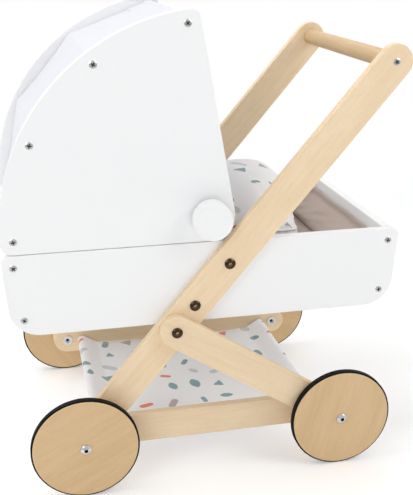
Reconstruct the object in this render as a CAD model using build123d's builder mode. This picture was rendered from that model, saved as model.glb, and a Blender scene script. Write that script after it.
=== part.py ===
from build123d import *
import os
from math import asin, atan2, cos, degrees, hypot, radians, sin, sqrt, tan

# A doll's pram: a painted tub with a tilting hood, carried by birch posts and struts on four wheels.
# Millimetres. +X points from the head end to the handle, +Y to the pram's right side, +Z up,
# and the origin lies on the floor under the middle of the tub.

# Boards and the layers that they make across the width
tub_inner_width = 251
board_thickness = 10
rail_width = 37
post_width = 39
strut_width = 38
edge_round = 1.2

# Wheels and axles
wheel_diameter = 120
wheel_thickness = 10
wheel_edge_round_share = 0.9
tyre_standout = 2
tyre_seat_depth = 1
tyre_width = 7.2
tyre_edge_round = 0.8
front_axle_x = -151
wheelbase = 308
axle_diameter = 8
axle_head_diameter = 12.5
axle_head_height = 3.6
axle_washer_diameter = 18
axle_washer_thickness = 1.8
axle_spacer_diameter = 24
axle_nut_flange_diameter = 14
axle_nut_barrel_diameter = 10

# Domed bolt heads, as shares of their own height and diameter
head_edge_share = 0.33
socket_depth_share = 0.7
socket_width_share = 0.4

# Handle posts and struts, with places measured along the post from the front axle
post_angle = 49.7
post_pivot_distance = 169
post_bolt_past_pivot = 35.5
post_bolt_spacing = 62.2
post_handle_distance = 553
handle_bar_diameter = 20
frame_bolt_diameter = 6
frame_head_diameter = 12.5
frame_head_height = 3.4
frame_nut_flange_diameter = 13
frame_nut_barrel_diameter = 8
strut_nut_flange_diameter = 12
nut_flange_thickness = 2
handle_screw_grip = 30

# Tub, hung on the posts' lower bolts
tub_length = 458.6
tub_height = 95
tub_bottom_below_bolt = 23.5
tub_middle_past_bolt = 18.7
panel_end_lean_angle = 4
panel_top_corner = 9
panel_bottom_corner = 35
end_board_lean_angle = 7
end_board_inset = 11.6
end_board_top_round = 2
floor_height = 9.5
floor_thickness = 5
floor_groove_depth = 4
screw_head_diameter = 8.5
screw_diameter = 4
screw_grip = 22
upper_screw_below_rim = 14.3
lower_screw_below_rim = 76

# Hood, turning on a clamping stud at each side
hood_pivot_x = 1
hood_pivot_above_rim = 29.5
hood_rim_gap = 0.5
hood_arc_ahead = 7
hood_arc_below = 10.5
hood_head_gap = 1.3
hood_front_lean_angle = 10.4
hood_top_corner = 10
hood_head_corner = 12
hood_post_gap = 0.7
hood_bracket_gap = 0.3
hood_bar_inset = 14
hood_bar_diameter = 14
hood_bar_count = 4
hood_first_bar_angle = 97.9
hood_bar_step_angle = 27.7
hood_cover_thickness = 1.2
hood_cover_side_gap = 1
bracket_thickness = 10
bracket_pivot_radius = 23
bracket_upper_radius = 16
bracket_lower_radius = 15
bracket_floor_gap = 1

# Clamping knobs
knob_diameter = 43
knob_length = 22
knob_edge_round = 4
knob_neck_diameter = 26
knob_neck_length = 3
stud_diameter = 8
stud_in_knob = 14
insert_barrel_diameter = 10
insert_flange_diameter = 19
insert_flange_thickness = 1.5

# Shopping basket, a cloth hammock on two cross bars
cross_bar_diameter = 10
cross_bar_inset = 20.5
basket_thickness = 1.2
basket_side_gap = 2
basket_sag = 4

# Bedding
lining_thickness = 2
lining_below_rim = 14
lining_slit_margin = 3
mattress_thickness = 28
mattress_side_gap = 1
mattress_end_gap = 4
mattress_draw_in = 3
mattress_corner_round = 12
mattress_edge_round = 9
duvet_head_x = -105
duvet_foot_x = 131
duvet_foot_slant_angle = 10.3
duvet_crown = 38
duvet_right_shoulder = 31
duvet_left_shoulder = 9
duvet_seam_above_rim = -1
duvet_seam_thickness = 6
duvet_base_share = 0.75
duvet_squareness = 8

# Fits
bolt_clearance = 0.05
hole_end_gap = 1
nut_end_gap = 1
running_clearance = 0.06
running_gap = 0.2
cloth_clearance = 0.3

# Places worked out from the sizes above
axle_z = wheel_diameter / 2 + tyre_standout
rear_axle_x = front_axle_x + wheelbase
inner_y = tub_inner_width / 2
panel_y = inner_y + board_thickness
post_y = panel_y + board_thickness
strut_y = post_y + board_thickness
wheel_y = strut_y + axle_washer_thickness + running_gap
axle_head_y = wheel_y + wheel_thickness + running_gap


def along_post(distance):
    """The place (x, z) on the post's middle line, measured up from the front axle."""
    x = front_axle_x + distance * cos(radians(post_angle))
    z = axle_z + distance * sin(radians(post_angle))
    return x, z


front_axle = (front_axle_x, axle_z)
rear_axle = (rear_axle_x, axle_z)
pivot = along_post(post_pivot_distance)
lower_bolt_distance = post_pivot_distance + post_bolt_past_pivot
lower_bolt = along_post(lower_bolt_distance)
upper_bolt = along_post(lower_bolt_distance + post_bolt_spacing)
handle = along_post(post_handle_distance)

tub_x = lower_bolt[0] + tub_middle_past_bolt
tub_bottom_z = lower_bolt[1] - tub_bottom_below_bolt
rim_z = tub_bottom_z + tub_height
floor_z = tub_bottom_z + floor_height
floor_top_z = floor_z + floor_thickness
bracket_y = inner_y - bracket_thickness


def end_board_x(z):
    """How far the middle of an end board stands from the tub's middle at height z."""
    return tub_length / 2 - end_board_inset - (rim_z - z) * tan(radians(end_board_lean_angle))


def end_inner_x(z):
    """How far the inner face of an end board stands from the tub's middle at height z."""
    return end_board_x(z) - board_thickness / 2 / cos(radians(end_board_lean_angle))


upper_screw_z = rim_z - upper_screw_below_rim
lower_screw_z = rim_z - lower_screw_below_rim
body_screws_at = [
    (tub_x + end * end_board_x(z), z) for end in (-1, 1) for z in (upper_screw_z, lower_screw_z)
]

hood_pivot = (tub_x + hood_pivot_x, rim_z + hood_pivot_above_rim)
hood_arc = (hood_pivot[0] + hood_arc_ahead, hood_pivot[1] - hood_arc_below)
hood_radius = hood_arc[0] - tub_x + tub_length / 2 - hood_head_gap
hood_inner_y = inner_y + hood_bracket_gap
hood_outer_y = panel_y - hood_post_gap
knob_y = hood_outer_y + hood_bracket_gap


def about(centre, radius, angle):
    """The place (x, z) at a radius and an angle in degrees about a centre."""
    return centre[0] + radius * cos(radians(angle)), centre[1] + radius * sin(radians(angle))


hood_bar_circle = hood_radius - hood_bar_inset
hood_bar_angles = [hood_first_bar_angle + i * hood_bar_step_angle for i in range(hood_bar_count)]
hood_bars_at = [about(hood_arc, hood_bar_circle, angle) for angle in hood_bar_angles]
cross_bars_at = {
    "front": (front_axle_x + cross_bar_inset, axle_z),
    "rear": (rear_axle_x - cross_bar_inset, axle_z),
}

os.makedirs("parts", exist_ok=True)


def keep(piece, name):
    """Label a finished piece and write its file."""
    piece.part.label = name
    export_step(piece.part, f"parts/{name}.step")


def keep_pair(left_piece, name):
    """Write a left-hand piece and its mirror image."""
    keep(left_piece, f"left_{name}")
    with BuildPart() as right_piece:
        mirror(left_piece.part, about=Plane.XZ)
    keep(right_piece, f"right_{name}")


def left_face(y):
    """The plane at a distance y to the left of the middle, seen from outside: X right and Z up."""
    return Plane.XZ.offset(y)


def seat(place, y, side=-1):
    """A plane facing outwards at a place (x, z), where a fastener's head sits or a hole starts."""
    return Plane(origin=(place[0], side * y, place[1]), x_dir=(1, 0, 0), z_dir=(0, side, 0))


def seats(places, y):
    """The same seats on the left and on the right."""
    return [seat(place, y, side) for side in (-1, 1) for place in places]


# Fasteners, each made along Z with its seat on the XY plane


def domed_bolt(head_diameter, head_height, shank_diameter, length):
    """A bolt with a low domed head and a hexagon socket."""
    head_radius = head_diameter / 2
    edge_height = head_height * head_edge_share
    dome_rise = head_height - edge_height
    dome_radius = (head_radius**2 + dome_rise**2) / (2 * dome_rise)
    dome_angle = degrees(asin(head_radius / dome_radius))
    with BuildPart() as bolt:
        with BuildSketch(Plane.XZ):
            with BuildLine():
                dome = CenterArc((0, head_height - dome_radius), dome_radius, 90, -dome_angle)
                Polyline(
                    dome @ 1,
                    (head_radius, 0),
                    (shank_diameter / 2, 0),
                    (shank_diameter / 2, -length),
                    (0, -length),
                    dome @ 0,
                )
            make_face()
        revolve(axis=Axis.Z)
        with BuildSketch(Plane.XY.offset(head_height)):
            RegularPolygon(radius=head_radius * socket_width_share, side_count=6)
        extrude(amount=-head_height * socket_depth_share, mode=Mode.SUBTRACT)
    return bolt.part


def countersunk_screw(length):
    """A countersunk screw whose head lies flush with the surface."""
    with BuildPart() as screw:
        with BuildSketch(Plane.XZ):
            head_depth = (screw_head_diameter - screw_diameter) / 2
            with BuildLine():
                Polyline(
                    (0, 0),
                    (screw_head_diameter / 2, 0),
                    (screw_diameter / 2, -head_depth),
                    (screw_diameter / 2, -length),
                    (0, -length),
                    close=True,
                )
            make_face()
        revolve(axis=Axis.Z)
    return screw.part


def sleeve_nut(flange_diameter, flange_thickness, barrel_diameter, barrel_length, bore_diameter):
    """A flanged sleeve nut: the flange lies below the XY plane and the barrel reaches up."""
    with BuildPart() as nut:
        with BuildSketch():
            Circle(flange_diameter / 2)
            Circle(bore_diameter / 2, mode=Mode.SUBTRACT)
        extrude(amount=-flange_thickness)
        with BuildSketch():
            Circle(barrel_diameter / 2)
            Circle(bore_diameter / 2, mode=Mode.SUBTRACT)
        extrude(amount=barrel_length)
    return nut.part


def fastener_group(fastener, places, name):
    """Write one file with a copy of the fastener at each place."""
    with BuildPart() as group:
        with Locations(*places):
            add(fastener)
    keep(group, name)


def countersink_here():
    """Cut a clearance hole with a countersink for a flush screw."""
    CounterSinkHole(
        radius=screw_diameter / 2 + bolt_clearance,
        counter_sink_radius=screw_head_diameter / 2 + bolt_clearance,
        counter_sink_angle=90,
    )


pilot_radius = screw_diameter / 2 + bolt_clearance
pilot_depth = screw_grip + hole_end_gap
axle_hole_radius = axle_diameter / 2 + bolt_clearance
frame_hole_radius = frame_bolt_diameter / 2 + bolt_clearance

# Bottom rails, from axle to axle
with BuildPart() as rail:
    with BuildSketch(left_face(panel_y)):
        with Locations(((front_axle_x + rear_axle_x) / 2, axle_z)):
            SlotCenterToCenter(wheelbase, rail_width)
    extrude(amount=-board_thickness)
    fillet(rail.faces().filter_by(Axis.Y).edges(), edge_round)
    with Locations(seat(front_axle, panel_y), seat(rear_axle, panel_y)):
        Hole(axle_nut_barrel_diameter / 2 + bolt_clearance)
    with Locations(*[seat(place, panel_y) for place in cross_bars_at.values()]):
        countersink_here()
keep_pair(rail, "rail")

# Handle posts, from the front axle to the handle bar
with BuildPart() as post:
    with BuildSketch(left_face(post_y)):
        with Locations(along_post(post_handle_distance / 2)):
            SlotCenterToCenter(post_handle_distance, post_width, rotation=post_angle)
    extrude(amount=-board_thickness)
    fillet(post.faces().filter_by(Axis.Y).edges(), edge_round)
    with Locations(seat(front_axle, post_y)):
        Hole(axle_hole_radius)
    with Locations(seat(lower_bolt, post_y), seat(upper_bolt, post_y)):
        Hole(frame_hole_radius)
    with Locations(seat(handle, post_y)):
        countersink_here()
    with Locations(seat(pivot, panel_y + nut_flange_thickness)):
        Hole(strut_nut_flange_diameter / 2 + bolt_clearance, nut_flange_thickness)
    with Locations(seat(pivot, post_y)):
        Hole(frame_nut_barrel_diameter / 2 + bolt_clearance)
keep_pair(post, "post")

# Struts, from the posts to the rear axle
strut_run = rear_axle[0] - pivot[0]
strut_drop = rear_axle[1] - pivot[1]
with BuildPart() as strut:
    with BuildSketch(left_face(strut_y)):
        with Locations(((pivot[0] + rear_axle[0]) / 2, (pivot[1] + rear_axle[1]) / 2)):
            SlotCenterToCenter(
                hypot(strut_run, strut_drop),
                strut_width,
                rotation=degrees(atan2(strut_drop, strut_run)),
            )
    extrude(amount=-board_thickness)
    fillet(strut.faces().filter_by(Axis.Y).edges(), edge_round)
    with Locations(seat(pivot, strut_y)):
        Hole(frame_hole_radius)
    with Locations(seat(rear_axle, strut_y)):
        Hole(axle_hole_radius)
keep_pair(strut, "strut")

# Handle bar, between the posts
with BuildPart() as handle_bar:
    with BuildSketch(left_face(panel_y)):
        with Locations(handle):
            Circle(handle_bar_diameter / 2)
    extrude(amount=-2 * panel_y)
    with Locations(*seats([handle], panel_y)):
        Hole(pilot_radius, handle_screw_grip + hole_end_gap)
keep(handle_bar, "handle_bar")
handle_screw = countersunk_screw(board_thickness + handle_screw_grip)
fastener_group(handle_screw, seats([handle], post_y), "handle_screws")

# Cross bars, between the rails
for name, place in cross_bars_at.items():
    with BuildPart() as cross_bar:
        with BuildSketch(left_face(inner_y)):
            with Locations(place):
                Circle(cross_bar_diameter / 2)
        extrude(amount=-2 * inner_y)
        with Locations(*seats([place], inner_y)):
            Hole(pilot_radius, pilot_depth)
    keep(cross_bar, f"{name}_cross_bar")
board_screw = countersunk_screw(board_thickness + screw_grip)
fastener_group(board_screw, seats(cross_bars_at.values(), panel_y), "cross_bar_screws")

# Tub sides
panel_bottom_half = tub_length / 2 - tub_height * tan(radians(panel_end_lean_angle))
floor_groove_height = floor_thickness + 2 * bolt_clearance
floor_half_length = end_inner_x(floor_z) - running_gap
with BuildPart() as side_panel:
    with BuildSketch(left_face(panel_y)) as panel_outline:
        Polygon(
            (tub_x - panel_bottom_half, tub_bottom_z),
            (tub_x + panel_bottom_half, tub_bottom_z),
            (tub_x + tub_length / 2, rim_z),
            (tub_x - tub_length / 2, rim_z),
            align=None,
        )
        fillet(panel_outline.vertices().group_by(Axis.Y)[0], panel_bottom_corner)
        fillet(panel_outline.vertices().group_by(Axis.Y)[-1], panel_top_corner)
    extrude(amount=-board_thickness)
    fillet(side_panel.faces().filter_by(Axis.Y).edges(), edge_round)
    with Locations((tub_x, -inner_y, floor_z + floor_thickness / 2)):
        Box(2 * end_board_x(floor_z), 2 * floor_groove_depth, floor_groove_height, mode=Mode.SUBTRACT)
    with Locations(seat(lower_bolt, panel_y), seat(upper_bolt, panel_y)):
        Hole(frame_hole_radius)
    with Locations(*[seat(place, panel_y) for place in body_screws_at]):
        countersink_here()
keep_pair(side_panel, "side_panel")

# Leaning end boards, between the sides
end_board_half = board_thickness / 2 / cos(radians(end_board_lean_angle))
for name, end in (("head_board", -1), ("foot_board", 1)):
    with BuildPart() as end_board:
        with BuildSketch(left_face(inner_y)):
            Polygon(
                (tub_x + end * (end_board_x(floor_z) - end_board_half), floor_z),
                (tub_x + end * (end_board_x(floor_z) + end_board_half), floor_z),
                (tub_x + end * (end_board_x(rim_z) + end_board_half), rim_z),
                (tub_x + end * (end_board_x(rim_z) - end_board_half), rim_z),
                align=None,
            )
        extrude(amount=-2 * inner_y)
        top_edges = end_board.faces().sort_by(Axis.Z)[-1].edges().filter_by(Axis.Y)
        fillet(top_edges, end_board_top_round)
        end_screws_at = [place for place in body_screws_at if end * (place[0] - tub_x) > 0]
        with Locations(*seats(end_screws_at, inner_y)):
            Hole(pilot_radius, pilot_depth)
    keep(end_board, name)

# Floor, held in grooves in the sides
with BuildPart() as floor_board:
    with BuildSketch(Plane.XY.offset(floor_z)):
        with Locations((tub_x, 0)):
            Rectangle(2 * floor_half_length, 2 * (inner_y + floor_groove_depth - running_gap))
    extrude(amount=floor_thickness)
keep(floor_board, "floor_board")
fastener_group(board_screw, seats(body_screws_at, panel_y), "body_screws")

# Brackets inside the tub that carry the hood's studs above the rim
with BuildPart() as hood_bracket:
    with BuildSketch(left_face(inner_y)) as bracket_outline:
        with Locations(hood_pivot):
            Circle(bracket_pivot_radius)
        with Locations(upper_bolt):
            Circle(bracket_upper_radius)
        with Locations(lower_bolt):
            Circle(bracket_lower_radius)
        make_hull(bracket_outline.edges())
        with Locations((tub_x, floor_top_z + bracket_floor_gap)):
            Rectangle(tub_length, tub_height, align=(Align.CENTER, Align.MAX), mode=Mode.SUBTRACT)
    extrude(amount=-bracket_thickness)
    with Locations(seat(lower_bolt, inner_y), seat(upper_bolt, inner_y)):
        Hole(frame_nut_barrel_diameter / 2 + bolt_clearance)
    with Locations(seat(hood_pivot, inner_y)):
        Hole(insert_barrel_diameter / 2 + bolt_clearance)
keep_pair(hood_bracket, "hood_bracket")

# Bolts and nuts of the frame
post_bolt_length = 2 * board_thickness + bracket_thickness
post_bolt = domed_bolt(frame_head_diameter, frame_head_height, frame_bolt_diameter, post_bolt_length)
fastener_group(post_bolt, seats([lower_bolt, upper_bolt], post_y), "post_bolts")
post_nut = sleeve_nut(
    frame_nut_flange_diameter,
    nut_flange_thickness,
    frame_nut_barrel_diameter,
    bracket_thickness - nut_end_gap,
    2 * frame_hole_radius,
)
fastener_group(post_nut, seats([lower_bolt, upper_bolt], bracket_y), "post_nuts")
strut_bolt_length = 2 * board_thickness - nut_flange_thickness / 2
strut_bolt = domed_bolt(frame_head_diameter, frame_head_height, frame_bolt_diameter, strut_bolt_length)
fastener_group(strut_bolt, seats([pivot], strut_y), "strut_bolts")
strut_nut = sleeve_nut(
    strut_nut_flange_diameter,
    nut_flange_thickness,
    frame_nut_barrel_diameter,
    board_thickness - nut_flange_thickness - nut_end_gap,
    2 * frame_hole_radius,
)
fastener_group(strut_nut, seats([pivot], panel_y + nut_flange_thickness), "strut_nuts")

# Axles, with spacers that fill the layer a post or a strut leaves free
with BuildPart() as axle_spacer:
    with BuildSketch():
        Circle(axle_spacer_diameter / 2)
        Circle(axle_hole_radius, mode=Mode.SUBTRACT)
    extrude(amount=board_thickness)
    fillet(axle_spacer.edges().filter_by(GeomType.CIRCLE).group_by(SortBy.RADIUS)[-1], edge_round)
fastener_group(axle_spacer.part, seats([front_axle], post_y), "front_axle_spacers")
fastener_group(axle_spacer.part, seats([rear_axle], panel_y), "rear_axle_spacers")
with BuildPart() as axle_washer:
    with BuildSketch():
        Circle(axle_washer_diameter / 2)
        Circle(axle_hole_radius, mode=Mode.SUBTRACT)
    extrude(amount=axle_washer_thickness)
fastener_group(axle_washer.part, seats([front_axle, rear_axle], strut_y), "axle_washers")
axle_bolt = domed_bolt(axle_head_diameter, axle_head_height, axle_diameter, axle_head_y - inner_y)
fastener_group(axle_bolt, seats([front_axle, rear_axle], axle_head_y), "axle_bolts")
axle_nut = sleeve_nut(
    axle_nut_flange_diameter,
    nut_flange_thickness,
    axle_nut_barrel_diameter,
    board_thickness - nut_end_gap,
    2 * axle_hole_radius,
)
fastener_group(axle_nut, seats([front_axle, rear_axle], inner_y), "axle_nuts")

# Wheels: a plywood disc with a rubber band sunk in a groove round its rim
wheel_radius = wheel_diameter / 2
tyre_lip = (wheel_thickness - tyre_width) / 2
with BuildPart() as wheel_disc:
    with BuildSketch():
        Circle(wheel_radius)
        Circle(axle_diameter / 2 + running_clearance, mode=Mode.SUBTRACT)
    extrude(amount=wheel_thickness)
    rim_edges = wheel_disc.edges().filter_by(GeomType.CIRCLE).group_by(SortBy.RADIUS)[-1]
    fillet(rim_edges, tyre_lip * wheel_edge_round_share)
    with BuildSketch(Plane.XY.offset(tyre_lip)):
        Circle(wheel_radius + tyre_standout)
        Circle(wheel_radius - tyre_seat_depth, mode=Mode.SUBTRACT)
    extrude(amount=tyre_width, mode=Mode.SUBTRACT)
with BuildPart() as tyre_band:
    with BuildSketch(Plane.XY.offset(tyre_lip)):
        Circle(wheel_radius + tyre_standout)
        Circle(wheel_radius - tyre_seat_depth, mode=Mode.SUBTRACT)
    extrude(amount=tyre_width)
    band_edges = tyre_band.edges().filter_by(GeomType.CIRCLE).group_by(SortBy.RADIUS)[-1]
    fillet(band_edges, tyre_edge_round)
for axle_name, axle in (("front", front_axle), ("rear", rear_axle)):
    for side_name, side in (("left", -1), ("right", 1)):
        wheel_seat = [seat(axle, wheel_y, side)]
        fastener_group(wheel_disc.part, wheel_seat, f"{axle_name}_{side_name}_wheel")
        fastener_group(tyre_band.part, wheel_seat, f"{axle_name}_{side_name}_tyre")

# Basket: a cloth with a sleeve round each cross bar, sagging between them
sleeve_inner = cross_bar_diameter / 2 + running_gap
sleeve_middle = sleeve_inner + basket_thickness / 2
basket_ends = [(x, z - sleeve_middle) for x, z in cross_bars_at.values()]
basket_middle_x = (basket_ends[0][0] + basket_ends[1][0]) / 2
with BuildPart() as basket:
    with BuildSketch(left_face(inner_y - basket_side_gap)):
        with BuildLine():
            ThreePointArc(
                basket_ends[0],
                (basket_middle_x, basket_ends[0][1] - basket_sag),
                basket_ends[1],
            )
        trace(line_width=basket_thickness)
        with Locations(*cross_bars_at.values()):
            Circle(sleeve_inner + basket_thickness)
        with Locations(*cross_bars_at.values()):
            Circle(sleeve_inner, mode=Mode.SUBTRACT)
    extrude(amount=-2 * (inner_y - basket_side_gap))
keep(basket, "basket")

# Tub lining: a cloth tray on the floor, the ends and the sides, slit for the hood brackets
lining_bottom_z = floor_top_z + running_gap
lining_top_z = rim_z - lining_below_rim
lining_lean_thickness = lining_thickness / cos(radians(end_board_lean_angle))


def tub_section(bottom_z, top_z, inset):
    """Corners (x, z) of the tub's hollow between two heights, drawn in from the end boards."""
    return [
        (tub_x + end * (end_inner_x(z) - inset), z)
        for end, z in ((-1, bottom_z), (1, bottom_z), (1, top_z), (-1, top_z))
    ]


with BuildPart() as lining:
    with BuildSketch(left_face(inner_y - cloth_clearance)):
        Polygon(*tub_section(lining_bottom_z, lining_top_z, cloth_clearance), align=None)
    extrude(amount=-2 * (inner_y - cloth_clearance))
    with BuildSketch(left_face(inner_y - cloth_clearance - lining_thickness)):
        Polygon(
            *tub_section(lining_bottom_z + lining_thickness, rim_z, cloth_clearance + lining_lean_thickness),
            align=None,
        )
    extrude(amount=-2 * (inner_y - cloth_clearance - lining_thickness), mode=Mode.SUBTRACT)
    bracket_box = hood_bracket.part.bounding_box()
    with Locations(*[(bracket_box.center().X, side * inner_y, lining_bottom_z) for side in (-1, 1)]):
        Box(
            bracket_box.size.X + 2 * lining_slit_margin,
            2 * (bracket_thickness + nut_flange_thickness + cloth_clearance),
            tub_height,
            align=(Align.CENTER, Align.CENTER, Align.MIN),
            mode=Mode.SUBTRACT,
        )
keep(lining, "lining")

# Mattress: a pad with sides drawn in between its corners
mattress_z = lining_bottom_z + lining_thickness + cloth_clearance
bedding_half_width = bracket_y - nut_flange_thickness - cloth_clearance - mattress_side_gap
mattress_half_length = end_inner_x(mattress_z) - lining_lean_thickness - mattress_end_gap
with BuildPart() as mattress:
    with BuildSketch(Plane.XY.offset(mattress_z)):
        with BuildLine():
            corners = [
                Vector(tub_x + along * mattress_half_length, across * bedding_half_width)
                for along, across in ((-1, -1), (1, -1), (1, 1), (-1, 1))
            ]
            for start, end in zip(corners, corners[1:] + corners[:1]):
                middle = (start + end) / 2
                inwards = (Vector(tub_x, 0) - middle).normalized()
                ThreePointArc(start, middle + inwards * mattress_draw_in, end)
        make_face()
    extrude(amount=mattress_thickness)
    fillet(mattress.edges().filter_by(Axis.Z), mattress_corner_round)
    fillet(mattress.faces().filter_by(Axis.Z).edges(), mattress_edge_round)
keep(mattress, "mattress")

# Duvet: a stuffed quilt, higher on the right and flat below, drawn to a seam all round, its foot edge askew
duvet_bottom_z = mattress_z + mattress_thickness + cloth_clearance
duvet_seam_z = rim_z + duvet_seam_above_rim
duvet_length = duvet_foot_x - duvet_head_x


def duvet_section(share, fullness):
    """One cross-section of the duvet at a share of its length from the head end."""
    slant = radians(duvet_foot_slant_angle * share)
    plane = Plane(
        origin=(tub_x + duvet_head_x + share * duvet_length, 0, duvet_seam_z),
        x_dir=(sin(slant), cos(slant), 0),
        z_dir=(cos(slant), -sin(slant), 0),
    )
    half = bedding_half_width / cos(slant)
    base = half * duvet_base_share
    drop = -duvet_seam_thickness / 2 - fullness * (duvet_seam_z - duvet_bottom_z - duvet_seam_thickness / 2)

    def top(across):
        """The place on the top at a share of the half width, from -1 on the left to 1 on the right."""
        shoulders = (duvet_right_shoulder + duvet_left_shoulder) / 2
        lean = across * (duvet_right_shoulder - duvet_left_shoulder) / 2
        height = shoulders + lean + (duvet_crown - shoulders) * (1 - across**2) - duvet_seam_above_rim
        rise = duvet_seam_thickness / 2 + fullness * height
        return half * across, rise * sqrt(1 - across**duvet_squareness)

    with BuildSketch(plane) as section:
        with BuildLine():
            Line((-base, drop), (base, drop))
            Bezier((base, drop), (half, drop), (half, 0))
            Spline(*[top(across) for across in (1, 0.96, 0.8, 0.4, 0, -0.4, -0.8, -0.96, -1)])
            Bezier((-half, 0), (-half, drop), (-base, drop))
        make_face()
    return section.sketch


duvet_fullness = {0: 0, 0.06: 0.6, 0.3: 0.95, 0.7: 1, 0.94: 0.75, 1: 0}
with BuildPart() as duvet:
    loft(sections=[duvet_section(share, fullness) for share, fullness in duvet_fullness.items()])
    split(bisect_by=Plane.XY.offset(duvet_bottom_z), keep=Keep.TOP)
keep(duvet, "duvet")

# Hood sides: a round back above the rim, with the front corner rounded about the pivot to clear the rim
hood_edge_distance = hood_pivot_above_rim - hood_rim_gap
hood_edge_z = hood_pivot[1] - hood_edge_distance
front_edge_angle = 90 + hood_front_lean_angle
front_start = Vector(about(hood_pivot, hood_edge_distance, hood_front_lean_angle))
front_way = Vector(about((0, 0), 1, front_edge_angle))
from_arc = front_start - Vector(hood_arc)
along_front = from_arc.dot(front_way)
front_length = sqrt(along_front**2 - from_arc.length**2 + hood_radius**2) - along_front
front_end = front_start + front_way * front_length
top_angle = degrees(atan2(front_end.Y - hood_arc[1], front_end.X - hood_arc[0]))
head_angle = 180 + degrees(asin((hood_arc[1] - hood_edge_z) / hood_radius))
with BuildPart() as hood_panel:
    with BuildSketch(left_face(hood_outer_y)) as hood_outline:
        with BuildLine():
            back = CenterArc(hood_arc, hood_radius, top_angle, head_angle - top_angle)
            Line(back @ 1, (hood_pivot[0], hood_edge_z))
            CenterArc(hood_pivot, hood_edge_distance, -90, 90 + hood_front_lean_angle)
            Line(front_start, back @ 0)
        make_face()
        fillet(hood_outline.vertices().sort_by(Axis.Y)[-1], hood_top_corner)
        fillet(hood_outline.vertices().sort_by(Axis.X)[0], hood_head_corner)
    extrude(amount=-(hood_outer_y - hood_inner_y))
    fillet(hood_panel.faces().filter_by(Axis.Y).edges(), edge_round)
    with Locations(seat(hood_pivot, hood_outer_y)):
        Hole(stud_diameter / 2 + running_clearance)
    with Locations(*[seat(place, hood_outer_y) for place in hood_bars_at]):
        countersink_here()
keep_pair(hood_panel, "hood_panel")

# Hood bars, between the hood's sides
for number, place in enumerate(hood_bars_at, start=1):
    with BuildPart() as hood_bar:
        with BuildSketch(left_face(hood_inner_y)):
            with Locations(place):
                Circle(hood_bar_diameter / 2)
        extrude(amount=-2 * hood_inner_y)
        with Locations(*seats([place], hood_inner_y)):
            Hole(pilot_radius, pilot_depth)
    keep(hood_bar, f"hood_bar_{number}")
hood_screw = countersunk_screw(hood_outer_y - hood_inner_y + screw_grip)
fastener_group(hood_screw, seats(hood_bars_at, hood_outer_y), "hood_screws")

# Hood cover: a cloth stretched flat from bar to bar, with a sleeve round the first and the last
cover_inner = hood_bar_diameter / 2 + running_gap
cover_middle = cover_inner + hood_cover_thickness / 2
chord_turn = hood_bar_step_angle / 2
corner_radius = hood_bar_circle + cover_middle / cos(radians(chord_turn))
first_normal = hood_bar_angles[0] + chord_turn
last_normal = hood_bar_angles[-1] - chord_turn

with BuildPart() as hood_cover:
    with BuildSketch(left_face(hood_inner_y - hood_cover_side_gap)):
        with BuildLine():
            FilletPolyline(
                about(hood_bars_at[0], cover_middle, first_normal),
                *[about(hood_arc, corner_radius, angle) for angle in hood_bar_angles[1:-1]],
                about(hood_bars_at[-1], cover_middle, last_normal),
                radius=cover_middle,
            )
        trace(line_width=hood_cover_thickness)
        with Locations(hood_bars_at[0], hood_bars_at[-1]):
            Circle(cover_inner + hood_cover_thickness)
        with Locations(hood_bars_at[0], hood_bars_at[-1]):
            Circle(cover_inner, mode=Mode.SUBTRACT)
    extrude(amount=-2 * (hood_inner_y - hood_cover_side_gap))
keep(hood_cover, "hood_cover")

# Clamping knobs, each on a stud that passes through the hood into an insert in the bracket
with BuildPart() as knob:
    with BuildSketch(left_face(knob_y)):
        with Locations(hood_pivot):
            Circle(knob_neck_diameter / 2)
    extrude(amount=knob_neck_length)
    with BuildSketch(left_face(knob_y + knob_neck_length)):
        with Locations(hood_pivot):
            Circle(knob_diameter / 2)
    extrude(amount=knob_length)
    knob_face_edge = knob.faces().sort_by(Axis.Y)[0].edges()
    fillet(knob_face_edge, knob_edge_round)
    knob_back_edge = knob.edges().filter_by(GeomType.CIRCLE).group_by(SortBy.RADIUS)[-1].sort_by(Axis.Y)[-1]
    fillet(knob_back_edge, knob_edge_round / 2)
    with Locations(Plane(origin=(hood_pivot[0], -knob_y, hood_pivot[1]), z_dir=(0, 1, 0))):
        Hole(stud_diameter / 2 + bolt_clearance, stud_in_knob)
keep_pair(knob, "knob")
with BuildPart() as knob_stud:
    with BuildSketch(left_face(bracket_y)):
        with Locations(hood_pivot):
            Circle(stud_diameter / 2)
    extrude(amount=knob_y + stud_in_knob - bracket_y)
keep_pair(knob_stud, "knob_stud")
knob_insert = sleeve_nut(
    insert_flange_diameter,
    insert_flange_thickness,
    insert_barrel_diameter,
    bracket_thickness - nut_end_gap,
    stud_diameter + 2 * running_clearance,
)
fastener_group(knob_insert, seats([hood_pivot], bracket_y), "knob_inserts")
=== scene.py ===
import math

import bmesh
import bpy
from bpy.props import FloatProperty, FloatVectorProperty, IntProperty, PointerProperty
from bpy.types import Operator, Panel, PropertyGroup
from mathutils import Matrix, Vector, noise
from mathutils.bvhtree import BVHTree


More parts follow.
